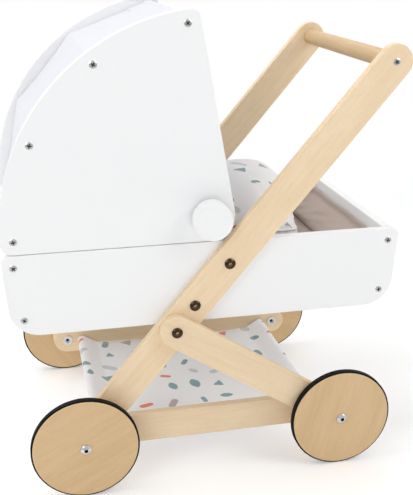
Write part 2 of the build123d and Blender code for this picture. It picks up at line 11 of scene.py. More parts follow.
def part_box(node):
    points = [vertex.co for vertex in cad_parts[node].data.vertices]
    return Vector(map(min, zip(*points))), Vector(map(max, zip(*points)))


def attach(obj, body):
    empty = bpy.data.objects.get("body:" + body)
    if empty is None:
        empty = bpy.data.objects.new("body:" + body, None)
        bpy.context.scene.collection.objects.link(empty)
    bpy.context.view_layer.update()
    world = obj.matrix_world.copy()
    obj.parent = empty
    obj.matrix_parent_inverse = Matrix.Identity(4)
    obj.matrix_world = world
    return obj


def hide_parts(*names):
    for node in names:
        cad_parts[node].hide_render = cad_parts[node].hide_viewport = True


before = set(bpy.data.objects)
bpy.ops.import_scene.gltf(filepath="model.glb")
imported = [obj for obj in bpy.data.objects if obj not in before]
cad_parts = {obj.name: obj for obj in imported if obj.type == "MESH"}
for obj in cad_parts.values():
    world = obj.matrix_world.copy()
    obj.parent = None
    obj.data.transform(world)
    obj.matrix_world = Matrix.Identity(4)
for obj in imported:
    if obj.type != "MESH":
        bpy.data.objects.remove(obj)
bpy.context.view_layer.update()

bl_info = {
    "name": "Doll's pram",
    "version": (1, 0, 0),
    "blender": (4, 5, 0),
    "location": "3D View > Sidebar > Pram",
    "description": "Dresses a doll's pram in birch, paint, metal and cloth, and sets its stage",
    "category": "Object",
}

FULL_TURN = 2 * math.pi
SIDES = ("left", "right")
HOOD_BARS = [f"hood_bar_{number}" for number in range(1, 5)]
CROSS_BARS = ["front_cross_bar", "rear_cross_bar"]

# Sizes of the solids that their boxes don't give
END_BOARD_LEAN = math.radians(7)
BOARD_WIDTH = 0.038
BOLT_HEAD_RADIUS = 0.00625
BOLT_SOCKET_RADIUS = 0.00245
BOLT_SOCKET_RIM = 0.0005
SCREW_HEAD_RADIUS = 0.00425
SCREW_HEAD_DEPTH = 0.00225
SCREW_REACH = 0.012

# How much of its colour a metal keeps where shade is painted into a recess
SOCKET_SHADE = 0.08
CROSS_SHADE = 0.12

# Sewing
THREAD_SIDES = 6
PIPING_SIDES = 8
HEM_STEP = 0.002
STITCH_INSET = 0.0015
LINING_END = 0.004
BAR_PROBE = 0.008
MATTRESS_SEAM_DROP = 0.011
MATTRESS_SEAM_RAYS, MATTRESS_SEAM_POINTS = 240, 260
DUVET_SEAM_DROP = 0.001
DUVET_SEAM_RAYS, DUVET_SEAM_POINTS = 300, 320
DUVET_RISE = 0.001

# Stage
LAMP_AIM = Vector((0.0, 0.0, 0.27))
LAMPS = {
    "left": ((-1.5, -1.6, 1.5), 1.3),
    "right": ((1.55, -1.15, 1.6), 1.3),
    "top": ((-0.75, 0.05, 1.8), 1.2),
    "back": ((0.3, 2.2, 1.1), 1.3),
}
CLIP_START = 0.02
FLOOR_REACH = 8.0


# Settings


def length(name, description, default):
    """A length in metres that a user can change."""
    return FloatProperty(
        name=name, description=description, default=default, min=0.0, precision=4, subtype="DISTANCE", unit="LENGTH"
    )


def share(name, description, default):
    """A plain factor that a user can change."""
    return FloatProperty(name=name, description=description, default=default, min=0.0, subtype="FACTOR")


def angle(name, description, default):
    """An angle that a user can change, with its default in degrees."""
    return FloatProperty(name=name, description=description, default=math.radians(default), subtype="ANGLE")


def power(name, description, default):
    """A lamp's power in watts."""
    return FloatProperty(name=name, description=description, default=default, min=0.0, unit="POWER")


def colour(name, description, default):
    """A linear colour that a user can change."""
    return FloatVectorProperty(
        name=name, description=description, default=default, size=3, min=0.0, max=1.0, subtype="COLOR"
    )


def place(name, description, default):
    """A point in metres that a user can move."""
    return FloatVectorProperty(
        name=name, description=description, default=default, size=3, subtype="TRANSLATION", unit="LENGTH"
    )


class PramStageSettings(PropertyGroup):
    """Camera, lamps and floor."""

    camera_place: place("Camera", "Where the camera stands", (-0.2036, -1.0194, 0.6039))
    azimuth: angle("Azimuth", "Turn of the view about the upright axis, from looking along +Y", -12.85)
    elevation: angle("Elevation", "How far the camera looks down", 19.19)
    lens: FloatProperty(name="Lens", description="Focal length", default=62.3, unit="CAMERA")
    shift_x: FloatProperty(name="Shift X", description="Sideways shift of the frame", default=-0.0024)
    shift_y: FloatProperty(name="Shift Y", description="Upright shift of the frame", default=-0.0091)
    left_power: power("Left lamp", "Power of the large lamp at the head end", 13.0)
    right_power: power("Right lamp", "Power of the large lamp at the handle end", 15.0)
    top_power: power("Top lamp", "Power of the lamp over the head end", 11.5)
    back_power: power("Back lamp", "Power of the lamp behind the pram", 5.0)
    front_ambient: share("Front ambient", "Strength of the even light from the camera's side", 0.30)
    back_ambient: share("Back ambient", "Strength of the even light from behind", 0.85)
    floor_colour: colour("Floor", "Colour of the floor", (0.86, 0.86, 0.86))
    floor_glow: share("Floor glow", "White added to the floor where it is seen directly", 0.20)
    table_light: share("Table light", "Light that the floor itself gives upwards", 0.33)
    room_level: share("Room", "Brightness of the room in front, as metal reflects it", 0.6)
    reflected_start: length("Reflection start", "Where the floor begins to darken in reflections", 0.30)
    reflected_end: length("Reflection end", "Where the floor is as dark as the room in reflections", 0.75)
    floor_fade_start: length("Fade start", "Where the floor begins to turn plain white", 0.55)
    floor_fade_end: length("Fade end", "Where the floor is plain white", 1.5)


class PramFinishSettings(PropertyGroup):
    """Colours and scales of the surfaces."""

    paint: colour("Paint", "White paint on the tub, the hood and the knobs", (0.878, 0.885, 0.892))
    paint_worn: colour("Worn paint", "Thin paint along rounded edges", (0.78, 0.765, 0.74))
    birch_pale: colour("Pale birch", "Light streaks of the birch boards", (0.875, 0.70, 0.48))
    birch_deep: colour("Deep birch", "Dark streaks of the birch boards", (0.785, 0.60, 0.385))
    wheel_pale: colour("Pale wheel", "Light streaks of the wheels' plywood", (0.68, 0.485, 0.272))
    wheel_deep: colour("Deep wheel", "Dark streaks of the wheels' plywood", (0.60, 0.412, 0.218))
    rubber: colour("Rubber", "Tyre bands", (0.004, 0.004, 0.004))
    dark_steel: colour("Dark steel", "Frame bolts", (0.075, 0.052, 0.034))
    # Painted highlight: a brighter colour painted into the frame bolts' sockets.
    socket_highlight: colour("Bronze", "Sockets of the frame bolts", (0.50, 0.36, 0.21))
    nickel: colour("Nickel", "Screws, nuts and studs", (0.82, 0.81, 0.79))
    chrome: colour("Chrome", "Axle bolts", (0.76, 0.76, 0.77))
    nylon: colour("Nylon", "Washers beside the wheels", (0.85, 0.85, 0.83))
    print_ground: colour("Print ground", "Ground of the printed cotton", (0.89, 0.885, 0.90))
    print_orange: colour("Print orange", "First ink of the print", (0.80, 0.19, 0.09))
    print_teal: colour("Print teal", "Second ink of the print", (0.20, 0.33, 0.36))
    print_taupe: colour("Print taupe", "Third ink of the print", (0.44, 0.38, 0.37))
    print_grey: colour("Print grey", "Fourth ink of the print", (0.60, 0.61, 0.63))
    lining: colour("Lining", "Plain cotton in the tub", (0.53, 0.44, 0.39))
    hood_cloth: colour("Hood cloth", "Canvas on the hood", (0.75, 0.757, 0.808))
    thread: colour("Thread", "Sewing thread", (0.80, 0.79, 0.78))
    print_pitch: length("Print pitch", "Distance between the printed marks", 0.036)
    weave_pitch: length("Weave pitch", "Distance between threads of the cloth", 0.0009)
    ply_thickness: length("Ply", "Thickness of one ply", 0.00143)


class PramClothSettings(PropertyGroup):
    """Sizes of the hung and stretched cloths and their sewing."""

    thickness: length("Thickness", "Thickness of the cloth", 0.001)
    grid: length("Grid", "Distance between points of a cloth", 0.003)
    bar_gap: length("Bar gap", "Room between a bar and the cloth round it", 0.0003)
    side_gap: length("Side gap", "Room between the hood cloth and the hood's sides", 0.0004)
    seam_run: length("Seam run", "Distance from a bar to the seam that closes its sleeve", 0.021)
    seam_allowance: length("Seam allowance", "Cloth left beyond a seam", 0.007)
    hem_width: length("Hem", "Width of a hem", 0.009)
    hem_rise: length("Hem rise", "How far a folded hem stands proud", 0.0005)
    hood_ripple: length("Hood ripple", "Height of the waves along the hood cloth's edges", 0.0011)
    hood_sag: length("Hood sag", "How far the hood cloth's edges fall in between bars", 0.0018)
    basket_sag: length("Basket sag", "How far the basket hangs below its bars", 0.0042)
    basket_ripple: length("Basket ripple", "Height of the basket's folds", 0.0013)
    lining_fold: length("Lining fold", "Height of the lining's folds", 0.0065)
    lining_wave: length("Lining wave", "How far the lining's top edge wanders", 0.0015)
    lining_lift: length("Lining lift", "How far the lining's hem stands above its plain form", 0.003)
    lining_lap: length("Lining lap", "How far the lining lies over the mattress before it turns up", 0.027)
    lining_corner: length("Lining corner", "Radius of the lining's upright corners", 0.034)
    stitch: length("Stitch", "Length of a stitch", 0.0029)
    stitch_gap: length("Stitch gap", "Room between stitches", 0.0011)
    thread_radius: length("Thread radius", "Half the thickness of the thread", 0.00034)


class PramBeddingSettings(PropertyGroup):
    """Sizes of the stuffed bedding and of its simulation."""

    voxel: length("Voxel", "Distance between points of a pad before it is puffed up", 0.0045)
    mattress_shrink: length("Mattress shrink", "How much smaller the mattress starts", 0.001)
    duvet_shrink: length("Duvet shrink", "How much smaller the duvet starts", 0.0005)
    pressure: FloatProperty(name="Pressure", description="Pressure of the filling", default=4.0, min=0.0)
    slack: share("Slack", "Extra cloth round the filling", 0.05)
    frames: IntProperty(name="Frames", description="Steps of the simulation", default=20, min=2)
    mattress_cap: length("Mattress cap", "Furthest that a point of the mattress may move", 0.003)
    duvet_cap: length("Duvet cap", "Furthest that a point of the duvet may move", 0.003)
    pucker: length("Pucker", "Height of the gathers beside the duvet's seam", 0.0009)
    pucker_pitch: length("Pucker pitch", "Distance between gathers", 0.011)
    pucker_reach: length("Pucker reach", "How far the gathers run from the seam", 0.028)
    piping_radius: length("Piping", "Half the thickness of the piped seams", 0.0016)


# Small helpers


def ease(value, low, high):
    """A smooth step from 0 at low to 1 at high."""
    share_done = min(max((value - low) / (high - low), 0.0), 1.0)
    return share_done * share_done * (3 - 2 * share_done)


def wander(*where):
    """Smooth noise between about -1 and 1, the same on each run."""
    return noise.noise(Vector(where))


def middle(node):
    """The middle of a node's box at rest."""
    low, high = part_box(node)
    return (low + high) / 2


def new_object(name, mesh):
    """Put a mesh into the scene."""
    piece = bpy.data.objects.new(name, mesh)
    bpy.context.scene.collection.objects.link(piece)
    return piece


def mesh_object(name, points, faces):
    """A smooth-shaded piece from points and faces."""
    mesh = bpy.data.meshes.new(name)
    mesh.from_pydata(points, [], faces)
    mesh.update()
    mesh.shade_smooth()
    return new_object(name, mesh)


def lay_flat(piece, flats):
    """Keep each point's place in metres on the flat cloth."""
    layer = piece.data.uv_layers.new(name="flat")
    for loop in piece.data.loops:
        layer.data[loop.index].uv = flats[loop.vertex_index]


def unroll(piece, top=0.0):
    """Lay a piece flat as seen from above, with its sides unrolled from its top."""
    flats = []
    for vertex in piece.data.vertices:
        drop = top - vertex.co.z
        flats.append((vertex.co.x + vertex.normal.x * drop, vertex.co.y + vertex.normal.y * drop))
    lay_flat(piece, flats)


def dress(piece, finish):
    """Give a piece one material."""
    piece.data.materials.clear()
    piece.data.materials.append(finish)


def dress_nodes(names, finish):
    """Give nodes of the part one material."""
    for name in names:
        dress(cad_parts[name], finish)


def fit(parts, body, node):
    """Let pieces ride on a body, the first of them in place of a node."""
    for part in parts:
        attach(part, body)
    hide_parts(node)


# Finishes


class Finish:
    """A material built node by node, ending in its principled shader."""

    def __init__(self, name):
        self.material = bpy.data.materials.new(name)
        self.material.use_nodes = True
        self.nodes = self.material.node_tree.nodes
        self.links = self.material.node_tree.links
        self.shader = self.nodes["Principled BSDF"]
        coordinates = self.nodes.new("ShaderNodeTexCoord")
        self.place = coordinates.outputs["Object"]
        self.flat = coordinates.outputs["UV"]
        self.normal = coordinates.outputs["Normal"]
        self.relief = None

    def feed(self, socket, value):
        """Link a socket to a node's output, or set it."""
        if isinstance(value, bpy.types.NodeSocket):
            self.links.new(value, socket)
        else:
            socket.default_value = value

    def node(self, kind, sockets, **settings):
        """Add a node with its settings and its fed sockets."""
        added = self.nodes.new(kind)
        for name, value in settings.items():
            setattr(added, name, value)
        for name, value in sockets.items():
            self.feed(added.inputs[name], value)
        return added

    def math(self, operation, *values):
        """One sum of numbers."""
        return self.node("ShaderNodeMath", dict(enumerate(values)), operation=operation).outputs[0]

    def vector(self, operation, *values):
        """One sum of vectors, or their length."""
        added = self.node("ShaderNodeVectorMath", dict(enumerate(values)), operation=operation)
        return added.outputs["Value" if operation == "LENGTH" else "Vector"]

    def split(self, vector):
        """The three parts of a vector."""
        return self.node("ShaderNodeSeparateXYZ", {0: vector}).outputs

    def join(self, x, y, z=0.0):
        """A vector from its three parts."""
        return self.node("ShaderNodeCombineXYZ", {0: x, 1: y, 2: z}).outputs[0]

    def turn(self, vector, axis, turned):
        """A vector turned about an axis."""
        added = self.node("ShaderNodeVectorRotate", {"Vector": vector, "Angle": turned}, rotation_type=axis)
        return added.outputs[0]

    def noise(self, vector, scale, detail=3.0, distortion=0.0):
        """Noise at a number of lumps for each metre, or three numbers for streaks."""
        if not isinstance(scale, tuple):
            scale = (scale, scale, scale)
        stretched = self.vector("MULTIPLY", vector, scale)
        sockets = {"Vector": stretched, "Scale": 1.0, "Detail": detail, "Distortion": distortion}
        return self.node("ShaderNodeTexNoise", sockets).outputs[0]

    def ease(self, value, low, high):
        """A smooth step from 0 at low to 1 at high."""
        sockets = {0: value, 1: low, 2: high, 3: 0.0, 4: 1.0}
        return self.node("ShaderNodeMapRange", sockets, interpolation_type="SMOOTHSTEP").outputs[0]

    def spread(self, value, low, high):
        """A number from 0 to 1 spread between low and high."""
        return self.node("ShaderNodeMapRange", {0: value, 1: 0.0, 2: 1.0, 3: low, 4: high}).outputs[0]

    def mix(self, factor, first, second):
        """A colour between two."""
        first = first if isinstance(first, bpy.types.NodeSocket) else (*first, 1.0)
        second = second if isinstance(second, bpy.types.NodeSocket) else (*second, 1.0)
        return self.node("ShaderNodeMix", {0: factor, 6: first, 7: second}, data_type="RGBA").outputs[2]

    def scaled(self, base, factor):
        """A colour times a number."""
        added = self.node("ShaderNodeVectorMath", {0: base, "Scale": factor}, operation="SCALE")
        return added.outputs["Vector"]

    def shade(self, base, value, low, high):
        """A colour times a number from 0 to 1 that is spread between low and high."""
        return self.scaled(base, self.spread(value, low, high))

    def blend(self, first, second, part):
        """A part of one number and the rest of another."""
        return self.math("MULTIPLY_ADD", first, part, self.math("MULTIPLY", second, 1.0 - part))

    def bump(self, height, distance):
        """Raise the surface by a height from 0 to 1 times a distance."""
        sockets = {"Height": height, "Distance": distance, "Strength": 1.0}
        if self.relief is not None:
            sockets["Normal"] = self.relief
        self.relief = self.node("ShaderNodeBump", sockets).outputs[0]

    def done(self, base, roughness, **constants):
        """Feed the shader and hand the material over."""
        base = base if isinstance(base, bpy.types.NodeSocket) else (*base, 1.0)
        self.feed(self.shader.inputs["Base Color"], base)
        self.feed(self.shader.inputs["Roughness"], roughness)
        for name, value in constants.items():
            self.shader.inputs[name.replace("_", " ")].default_value = value
        if self.relief is not None:
            self.links.new(self.relief, self.shader.inputs["Normal"])
        return self.material

    def facing(self):
        """How far the surface looks sideways, from 0 on a sawn edge to 1 on a board's face."""
        return self.math("ABSOLUTE", self.split(self.normal)[1])

    def rounding(self, facing):
        """1 on the rounded arris between a board's face and its edge."""
        outer = self.ease(facing, 0.15, 0.45)
        inner = self.ease(facing, 0.999, 0.9)
        return self.math("MULTIPLY", outer, inner)


def board_finish(name, pale, deep, grain_angle, ply_thickness):
    """Lacquered plywood: streaked veneer on the faces, plies along the sawn edges, and a painted highlight on the
    rounded arris.
    """
    finish = Finish(name)
    grain = finish.turn(finish.place, "Y_AXIS", grain_angle)
    clouds = finish.noise(grain, (7, 26, 34), 3.0, 0.7)
    streaks = finish.noise(grain, (14, 150, 210), 4.0, 0.4)
    fibres = finish.noise(grain, (60, 1300, 1300), 2.0)
    flecks = finish.ease(finish.noise(grain, (170, 1500, 1700), 1.0), 0.62, 0.72)
    tone = finish.blend(clouds, streaks, 0.55)
    veneer = finish.mix(finish.ease(tone, 0.24, 0.76), pale, deep)
    veneer = finish.shade(veneer, fibres, 0.95, 1.05)
    veneer = finish.shade(veneer, flecks, 1.0, 0.90)
    facing = finish.facing()
    turns = finish.math("MULTIPLY", finish.split(finish.place)[1], math.pi / ply_thickness)
    cross_ply = finish.ease(finish.math("SINE", turns), -0.35, 0.35)
    end_grain = finish.noise(finish.place, (900, 300, 900), 2.0)
    sawn = finish.mix(cross_ply, pale, deep)
    sawn = finish.shade(sawn, end_grain, 0.86, 1.1)
    wood = finish.mix(finish.ease(facing, 0.35, 0.8), sawn, veneer)
    # Painted highlight: a little lighter along the rounded arris.
    wood = finish.shade(wood, finish.rounding(facing), 1.0, 1.06)
    finish.bump(fibres, 0.00007)
    finish.bump(flecks, -0.00008)
    finish.bump(cross_ply, 0.00003)
    return finish.done(wood, finish.spread(streaks, 0.42, 0.62), Specular_IOR_Level=0.4)


def bar_finish(name, pale, deep):
    """Turned birch bars, with the grain along their length."""
    finish = Finish(name)
    clouds = finish.noise(finish.place, (30, 7, 30), 3.0, 0.6)
    streaks = finish.noise(finish.place, (260, 16, 260), 4.0, 0.4)
    fibres = finish.noise(finish.place, (1500, 60, 1500), 2.0)
    tone = finish.blend(clouds, streaks, 0.5)
    wood = finish.mix(finish.ease(tone, 0.32, 0.68), pale, deep)
    wood = finish.shade(wood, fibres, 0.92, 1.06)
    end_grain = finish.ease(finish.facing(), 0.6, 0.95)
    wood = finish.shade(wood, end_grain, 1.0, 0.8)
    finish.bump(fibres, 0.00006)
    return finish.done(wood, finish.spread(streaks, 0.44, 0.62), Specular_IOR_Level=0.4)


def paint_finish(name, base, worn):
    """Sprayed satin paint over plywood, a little thinner along rounded edges."""
    finish = Finish(name)
    clouds = finish.noise(finish.place, 8.0, 3.0)
    peel = finish.noise(finish.place, 750.0, 2.0)
    veneer = finish.noise(finish.place, (22, 320, 320), 3.0, 0.5)
    rubbed = finish.ease(finish.noise(finish.place, 60.0, 4.0), 0.45, 0.7)
    thin = finish.math("MULTIPLY", finish.math("MULTIPLY", finish.rounding(finish.facing()), rubbed), 0.35)
    coat = finish.mix(thin, base, worn)
    coat = finish.shade(coat, clouds, 0.985, 1.012)
    finish.bump(peel, 0.00005)
    finish.bump(veneer, 0.00005)
    return finish.done(coat, finish.spread(clouds, 0.36, 0.48), Specular_IOR_Level=0.42)


def rubber_finish(name, base):
    """Matt rubber with a faint bloom of dust."""
    finish = Finish(name)
    grit = finish.noise(finish.place, 1400.0, 2.0)
    bloom = finish.ease(finish.noise(finish.place, 45.0, 4.0), 0.42, 0.75)
    skin = finish.mix(finish.math("MULTIPLY", bloom, 0.3), base, (0.014, 0.013, 0.012))
    finish.bump(grit, 0.00008)
    return finish.done(skin, finish.spread(bloom, 0.55, 0.8), Specular_IOR_Level=0.12)


def bolt_sockets(finish, node):
    """1 in the sockets of the bolts at both ends of a node, and 0 elsewhere."""
    low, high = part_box(node)
    x, y, z = finish.split(finish.place)
    place = finish.join(x, 0.0, z)
    first = (low.x + BOLT_HEAD_RADIUS, 0.0, low.z + BOLT_HEAD_RADIUS)
    last = (high.x - BOLT_HEAD_RADIUS, 0.0, high.z - BOLT_HEAD_RADIUS)
    reaches = [finish.vector("LENGTH", finish.vector("SUBTRACT", place, axis)) for axis in (first, last)]
    inside = finish.math("LESS_THAN", finish.math("MINIMUM", *reaches), BOLT_SOCKET_RADIUS)
    sunk = finish.math("LESS_THAN", finish.math("ABSOLUTE", y), high.y - BOLT_SOCKET_RIM)
    return finish.math("MULTIPLY", inside, sunk)


def metal_finish(name, base, smooth, rough, spots, bolts=None, socket=None):
    """Plated or blackened metal with uneven gloss and spots, and a colour painted into the sockets of bolts in
    place of the light and shade there.
    """
    finish = Finish(name)
    lines = finish.noise(finish.place, (500, 2600, 500), 2.0)
    patches = finish.noise(finish.place, 320.0, 3.0)
    plate = finish.shade(base, patches, 1.0 - spots, 1.0 + spots)
    if bolts:
        plate = finish.mix(bolt_sockets(finish, bolts), plate, socket)
    finish.bump(lines, 0.00002)
    return finish.done(plate, finish.spread(patches, smooth, rough), Metallic=1.0)


def nylon_finish(name, base):
    """Moulded nylon."""
    finish = Finish(name)
    cloud = finish.noise(finish.place, 220.0, 3.0)
    skin = finish.mix(cloud, base, [part * 0.92 for part in base])
    finish.bump(finish.noise(finish.place, 1800.0, 1.0), 0.00003)
    return finish.done(skin, finish.spread(cloud, 0.36, 0.5))


def strewn_marks(finish, flat, pitch, ground, inks):
    """Print bars, rounded triangles and leaves, one in each cell of a loose grid, each of its own size and turn."""
    scaled = finish.vector("MULTIPLY", flat, (1 / pitch, 1 / pitch, 0.0))
    sockets = {"Vector": scaled, "Scale": 1.0, "Randomness": 0.34}
    cells = finish.node("ShaderNodeTexVoronoi", sockets, voronoi_dimensions="2D")
    chance_turn, chance_shape, chance_ink = finish.split(cells.outputs["Color"])
    chance_size = finish.math("FRACT", finish.math("MULTIPLY_ADD", chance_turn, 7.3, chance_ink))
    size = finish.spread(chance_size, 0.20, 0.34)
    offset = finish.vector("SUBTRACT", scaled, cells.outputs["Position"])
    turned = finish.turn(offset, "Z_AXIS", finish.math("MULTIPLY", chance_turn, FULL_TURN))
    x, y, _ = finish.split(finish.scaled(turned, finish.math("DIVIDE", 1.0, size)))
    wide = finish.math("ABSOLUTE", x)
    overhang = finish.math("MAXIMUM", finish.math("SUBTRACT", wide, 0.55), 0.0)
    bar = finish.math("SUBTRACT", finish.vector("LENGTH", finish.join(overhang, y)), 0.42)
    slope = finish.math("MULTIPLY_ADD", wide, 0.866, finish.math("MULTIPLY", y, 0.5))
    base_edge = finish.math("MULTIPLY", y, -1.0)
    triangle = finish.math("SUBTRACT", finish.math("SMOOTH_MAX", slope, base_edge, 0.6), 0.52)
    leaf = finish.math("SUBTRACT", finish.vector("LENGTH", finish.join(finish.math("ADD", wide, 0.55), y)), 1.1)
    printed = 0.0
    for number, shape in enumerate((bar, triangle, leaf)):
        over = finish.math("GREATER_THAN", chance_shape, 0.3 * number)
        under = finish.math("LESS_THAN", chance_shape, 0.3 * (number + 1))
        chosen = finish.math("MULTIPLY", over, under)
        printed = finish.math("MULTIPLY_ADD", chosen, finish.ease(shape, 0.05, -0.05), printed)
    ink = inks[0]
    for number, tint in enumerate(inks[1:], start=1):
        ink = finish.mix(finish.math("GREATER_THAN", chance_ink, number / len(inks)), ink, tint)
    return finish.mix(finish.math("MULTIPLY", printed, 0.93), ground, ink)


def cloth_finish(name, ground, settings, printed=False, coarse=1.0):
    """Plain-weave cotton, with or without a print, on a piece that is laid flat."""
    finish = Finish(name)
    flat = finish.flat
    pitch = settings.weave_pitch * coarse
    warp, weft, _ = finish.split(finish.vector("SINE", finish.scaled(flat, math.pi / pitch)))
    weave = finish.spread(finish.math("MULTIPLY", warp, weft), 0.5, 1.0)
    slubs = finish.noise(flat, (70, 1100, 1.0), 2.0)
    cross_slubs = finish.noise(flat, (1100, 70, 1.0), 2.0)
    threads = finish.blend(slubs, cross_slubs, 0.5)
    clouds = finish.noise(finish.place, 14.0, 3.0)
    base = finish.mix(clouds, ground, [part * 0.965 for part in ground])
    if printed:
        taupe, grey = tuple(settings.print_taupe), tuple(settings.print_grey)
        teal, orange = tuple(settings.print_teal), tuple(settings.print_orange)
        base = strewn_marks(finish, flat, settings.print_pitch, base, [orange, taupe, teal, grey, teal])
    base = finish.shade(base, threads, 0.93, 1.07)
    base = finish.shade(base, weave, 0.96, 1.02)
    finish.bump(weave, 0.00016 * coarse)
    finish.bump(threads, 0.00012 * coarse)
    return finish.done(
        base, finish.spread(threads, 0.78, 0.95), Sheen_Weight=0.2, Sheen_Roughness=0.5, Specular_IOR_Level=0.2
    )


# Cloth in sheets


class Profile:
    """A line in the XZ plane of straight runs and arcs, measured by its length."""

    ARC_STEP = math.radians(9)

    def __init__(self):
        self.points = []
        self.lengths = []

    def to(self, point):
        """Add a straight run to a point."""
        point = Vector(point)
        if self.points and (point - self.points[-1]).length < 1e-7:
            return
        run = (point - self.points[-1]).length if self.points else 0.0
        self.lengths.append((self.lengths[-1] if self.lengths else 0.0) + run)
        self.points.append(point)

    def arc(self, centre, radius, start, end):
        """Add an arc about a centre between two angles."""
        steps = max(2, math.ceil(abs(end - start) / self.ARC_STEP))
        for step in range(steps + 1):
            turned = start + (end - start) * step / steps
            self.to(centre + radius * Vector((math.cos(turned), math.sin(turned))))

    @property
    def length(self):
        return self.lengths[-1]

    def at(self, distance):
        """The point at a distance, and the unit vector to the right of the line there."""
        index = 1
        while index < len(self.lengths) - 1 and self.lengths[index] < distance:
            index += 1
        start, end = self.points[index - 1], self.points[index]
        run = self.lengths[index] - self.lengths[index - 1]
        way = (end - start) / run
        point = start + way * (distance - self.lengths[index - 1])
        return point, Vector((way.y, -way.x))

    def distance_to(self, point):
        """The distance along the line to its point nearest to a place."""
        nearest = min(range(len(self.points)), key=lambda index: (self.points[index] - point).length)
        return self.lengths[nearest]


class ClothSheet:
    """A rectangle of cloth, put in space by a function of the distances along and across it."""

    PROBE = 0.0004

    def __init__(self, length, width, place):
        self.length = length
        self.width = width
        self.place = place

    def normal(self, along, across):
        """The way that the cloth's outer side faces."""
        run = self.place(along + self.PROBE, across) - self.place(along - self.PROBE, across)
        side = self.place(along, across + self.PROBE) - self.place(along, across - self.PROBE)
        return side.cross(run).normalized()

    def grid(self, step):
        """Points, faces and flat places of the sheet."""
        rows = math.ceil(self.length / step)
        columns = math.ceil(self.width / step)
        flats = [
            (self.length * row / rows, self.width * (column / columns - 0.5))
            for row in range(rows + 1)
            for column in range(columns + 1)
        ]
        points = [self.place(*flat) for flat in flats]
        faces = []
        for row in range(rows):
            for column in range(columns):
                corner = row * (columns + 1) + column
                faces.append((corner, corner + 1, corner + columns + 2, corner + columns + 1))
        return points, faces, flats


def sheet_object(name, sheets, cloth):
    """One piece of cloth from one or more sheets, with its thickness."""
    points, faces, flats = [], [], []
    for sheet in sheets:
        start = len(points)
        sheet_points, sheet_faces, sheet_flats = sheet.grid(cloth.grid)
        points += sheet_points
        faces += [tuple(start + corner for corner in face) for face in sheet_faces]
        flats += sheet_flats
    piece = mesh_object(name, points, faces)
    lay_flat(piece, flats)
    solid = piece.modifiers.new("Thickness", "SOLIDIFY")
    solid.thickness = cloth.thickness
    solid.offset = 0.0
    return piece


def thread_ring(centre, way, up, radius, sides):
    """Points of one ring round a thread."""
    side = way.cross(up).normalized()
    lift = side.cross(way).normalized()
    return [
        centre + radius * (math.cos(FULL_TURN * k / sides) * side + math.sin(FULL_TURN * k / sides) * lift)
        for k in range(sides)
    ]


def tube_faces(base, rings, sides, closed=False):
    """Faces from ring to ring of a tube, and back to its first ring where it is closed."""
    faces = []
    for ring in range(rings if closed else rings - 1):
        start, following = base + ring * sides, base + (ring + 1) % rings * sides
        for k in range(sides):
            turn = (k + 1) % sides
            faces.append((start + k, start + turn, following + turn, following + k))
    return faces


def stitches(name, rows, cloth):
    """Stitches along rows on sheets. A row is a sheet, two flat places and the side it lies on."""
    points, faces = [], []
    sides = THREAD_SIDES
    rings = ((0, 0.5, -0.6), (0.22, 1, 0.3), (0.78, 1, 0.3), (1, 0.5, -0.6))
    for sheet, start, end, outer in rows:
        start, end = Vector(start), Vector(end)
        count = int((end - start).length / (cloth.stitch + cloth.stitch_gap))
        way_flat = (end - start) / count
        drawn = cloth.stitch / (cloth.stitch + cloth.stitch_gap)
        for number in range(count):
            first = start + way_flat * number
            last = first + way_flat * drawn
            up = sheet.normal(*((first + last) / 2)) * (1 if outer else -1)
            lift = up * (cloth.thickness / 2)
            low, high = sheet.place(*first) + lift, sheet.place(*last) + lift
            way = (high - low).normalized()
            base = len(points)
            for along, radius, rise in rings:
                centre = low + (high - low) * along + up * (cloth.thread_radius * rise)
                points += thread_ring(centre, way, up, cloth.thread_radius * radius, sides)
            faces += tube_faces(base, len(rings), sides)
            faces.append(tuple(base + k for k in reversed(range(sides))))
            faces.append(tuple(len(points) - sides + k for k in range(sides)))
    piece = mesh_object(name, points, faces)
    unroll(piece)
    return piece


def flat_xz(point):
    """The X and Z of a place."""
    return Vector((point.x, point.z))


def unit(turned):
    """A unit vector at an angle in the XZ plane."""
    return Vector((math.cos(turned), math.sin(turned)))


def sleeve_radius(bar, cloth):
    """The radius of the cloth's middle where it goes round a bar."""
    low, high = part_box(bar)
    return (high.z - low.z) / 2 + cloth.bar_gap + cloth.thickness / 2


def hem_share(across, half, cloth):
    """1 on the hem along a sheet's side, and 0 further in."""
    return ease(abs(across), half - cloth.hem_width - HEM_STEP, half - cloth.hem_width)


def hood_line(cloth):
    """The hood cloth's line over the four bars, with a sleeve round the first and the last."""
    pivot = flat_xz(middle("left_knob"))
    bars = [flat_xz(middle(bar)) for bar in HOOD_BARS]
    radius = sleeve_radius(HOOD_BARS[0], cloth)
    normals = []
    for first, second in zip(bars, bars[1:]):
        way = (second - first).normalized()
        normals.append(math.atan2(-way.x, way.y))
    line = Profile()
    inner = radius - cloth.thickness * 1.15
    first_way = (bars[1] - bars[0]).normalized()
    last_way = (bars[2] - bars[3]).normalized()
    first_seam = bars[0] + first_way * cloth.seam_run + unit(normals[0]) * inner
    last_seam = bars[3] + last_way * cloth.seam_run + unit(normals[2]) * inner
    reach = first_seam - bars[0]
    meets = math.atan2(reach.y, reach.x) + math.acos(radius / reach.length)
    line.to(first_seam + first_way * cloth.seam_allowance)
    line.to(first_seam)
    line.arc(bars[0], radius, meets, normals[0] + FULL_TURN)
    for bar, before, after in zip(bars[1:3], normals, normals[1:]):
        line.arc(bar, radius, before, after)
    reach = last_seam - bars[3]
    leaves = math.atan2(reach.y, reach.x) - math.acos(radius / reach.length)
    while leaves < normals[2]:
        leaves += FULL_TURN
    line.arc(bars[3], radius, normals[2], leaves)
    line.to(last_seam)
    line.to(last_seam + last_way * cloth.seam_allowance)
    return line, pivot, bars


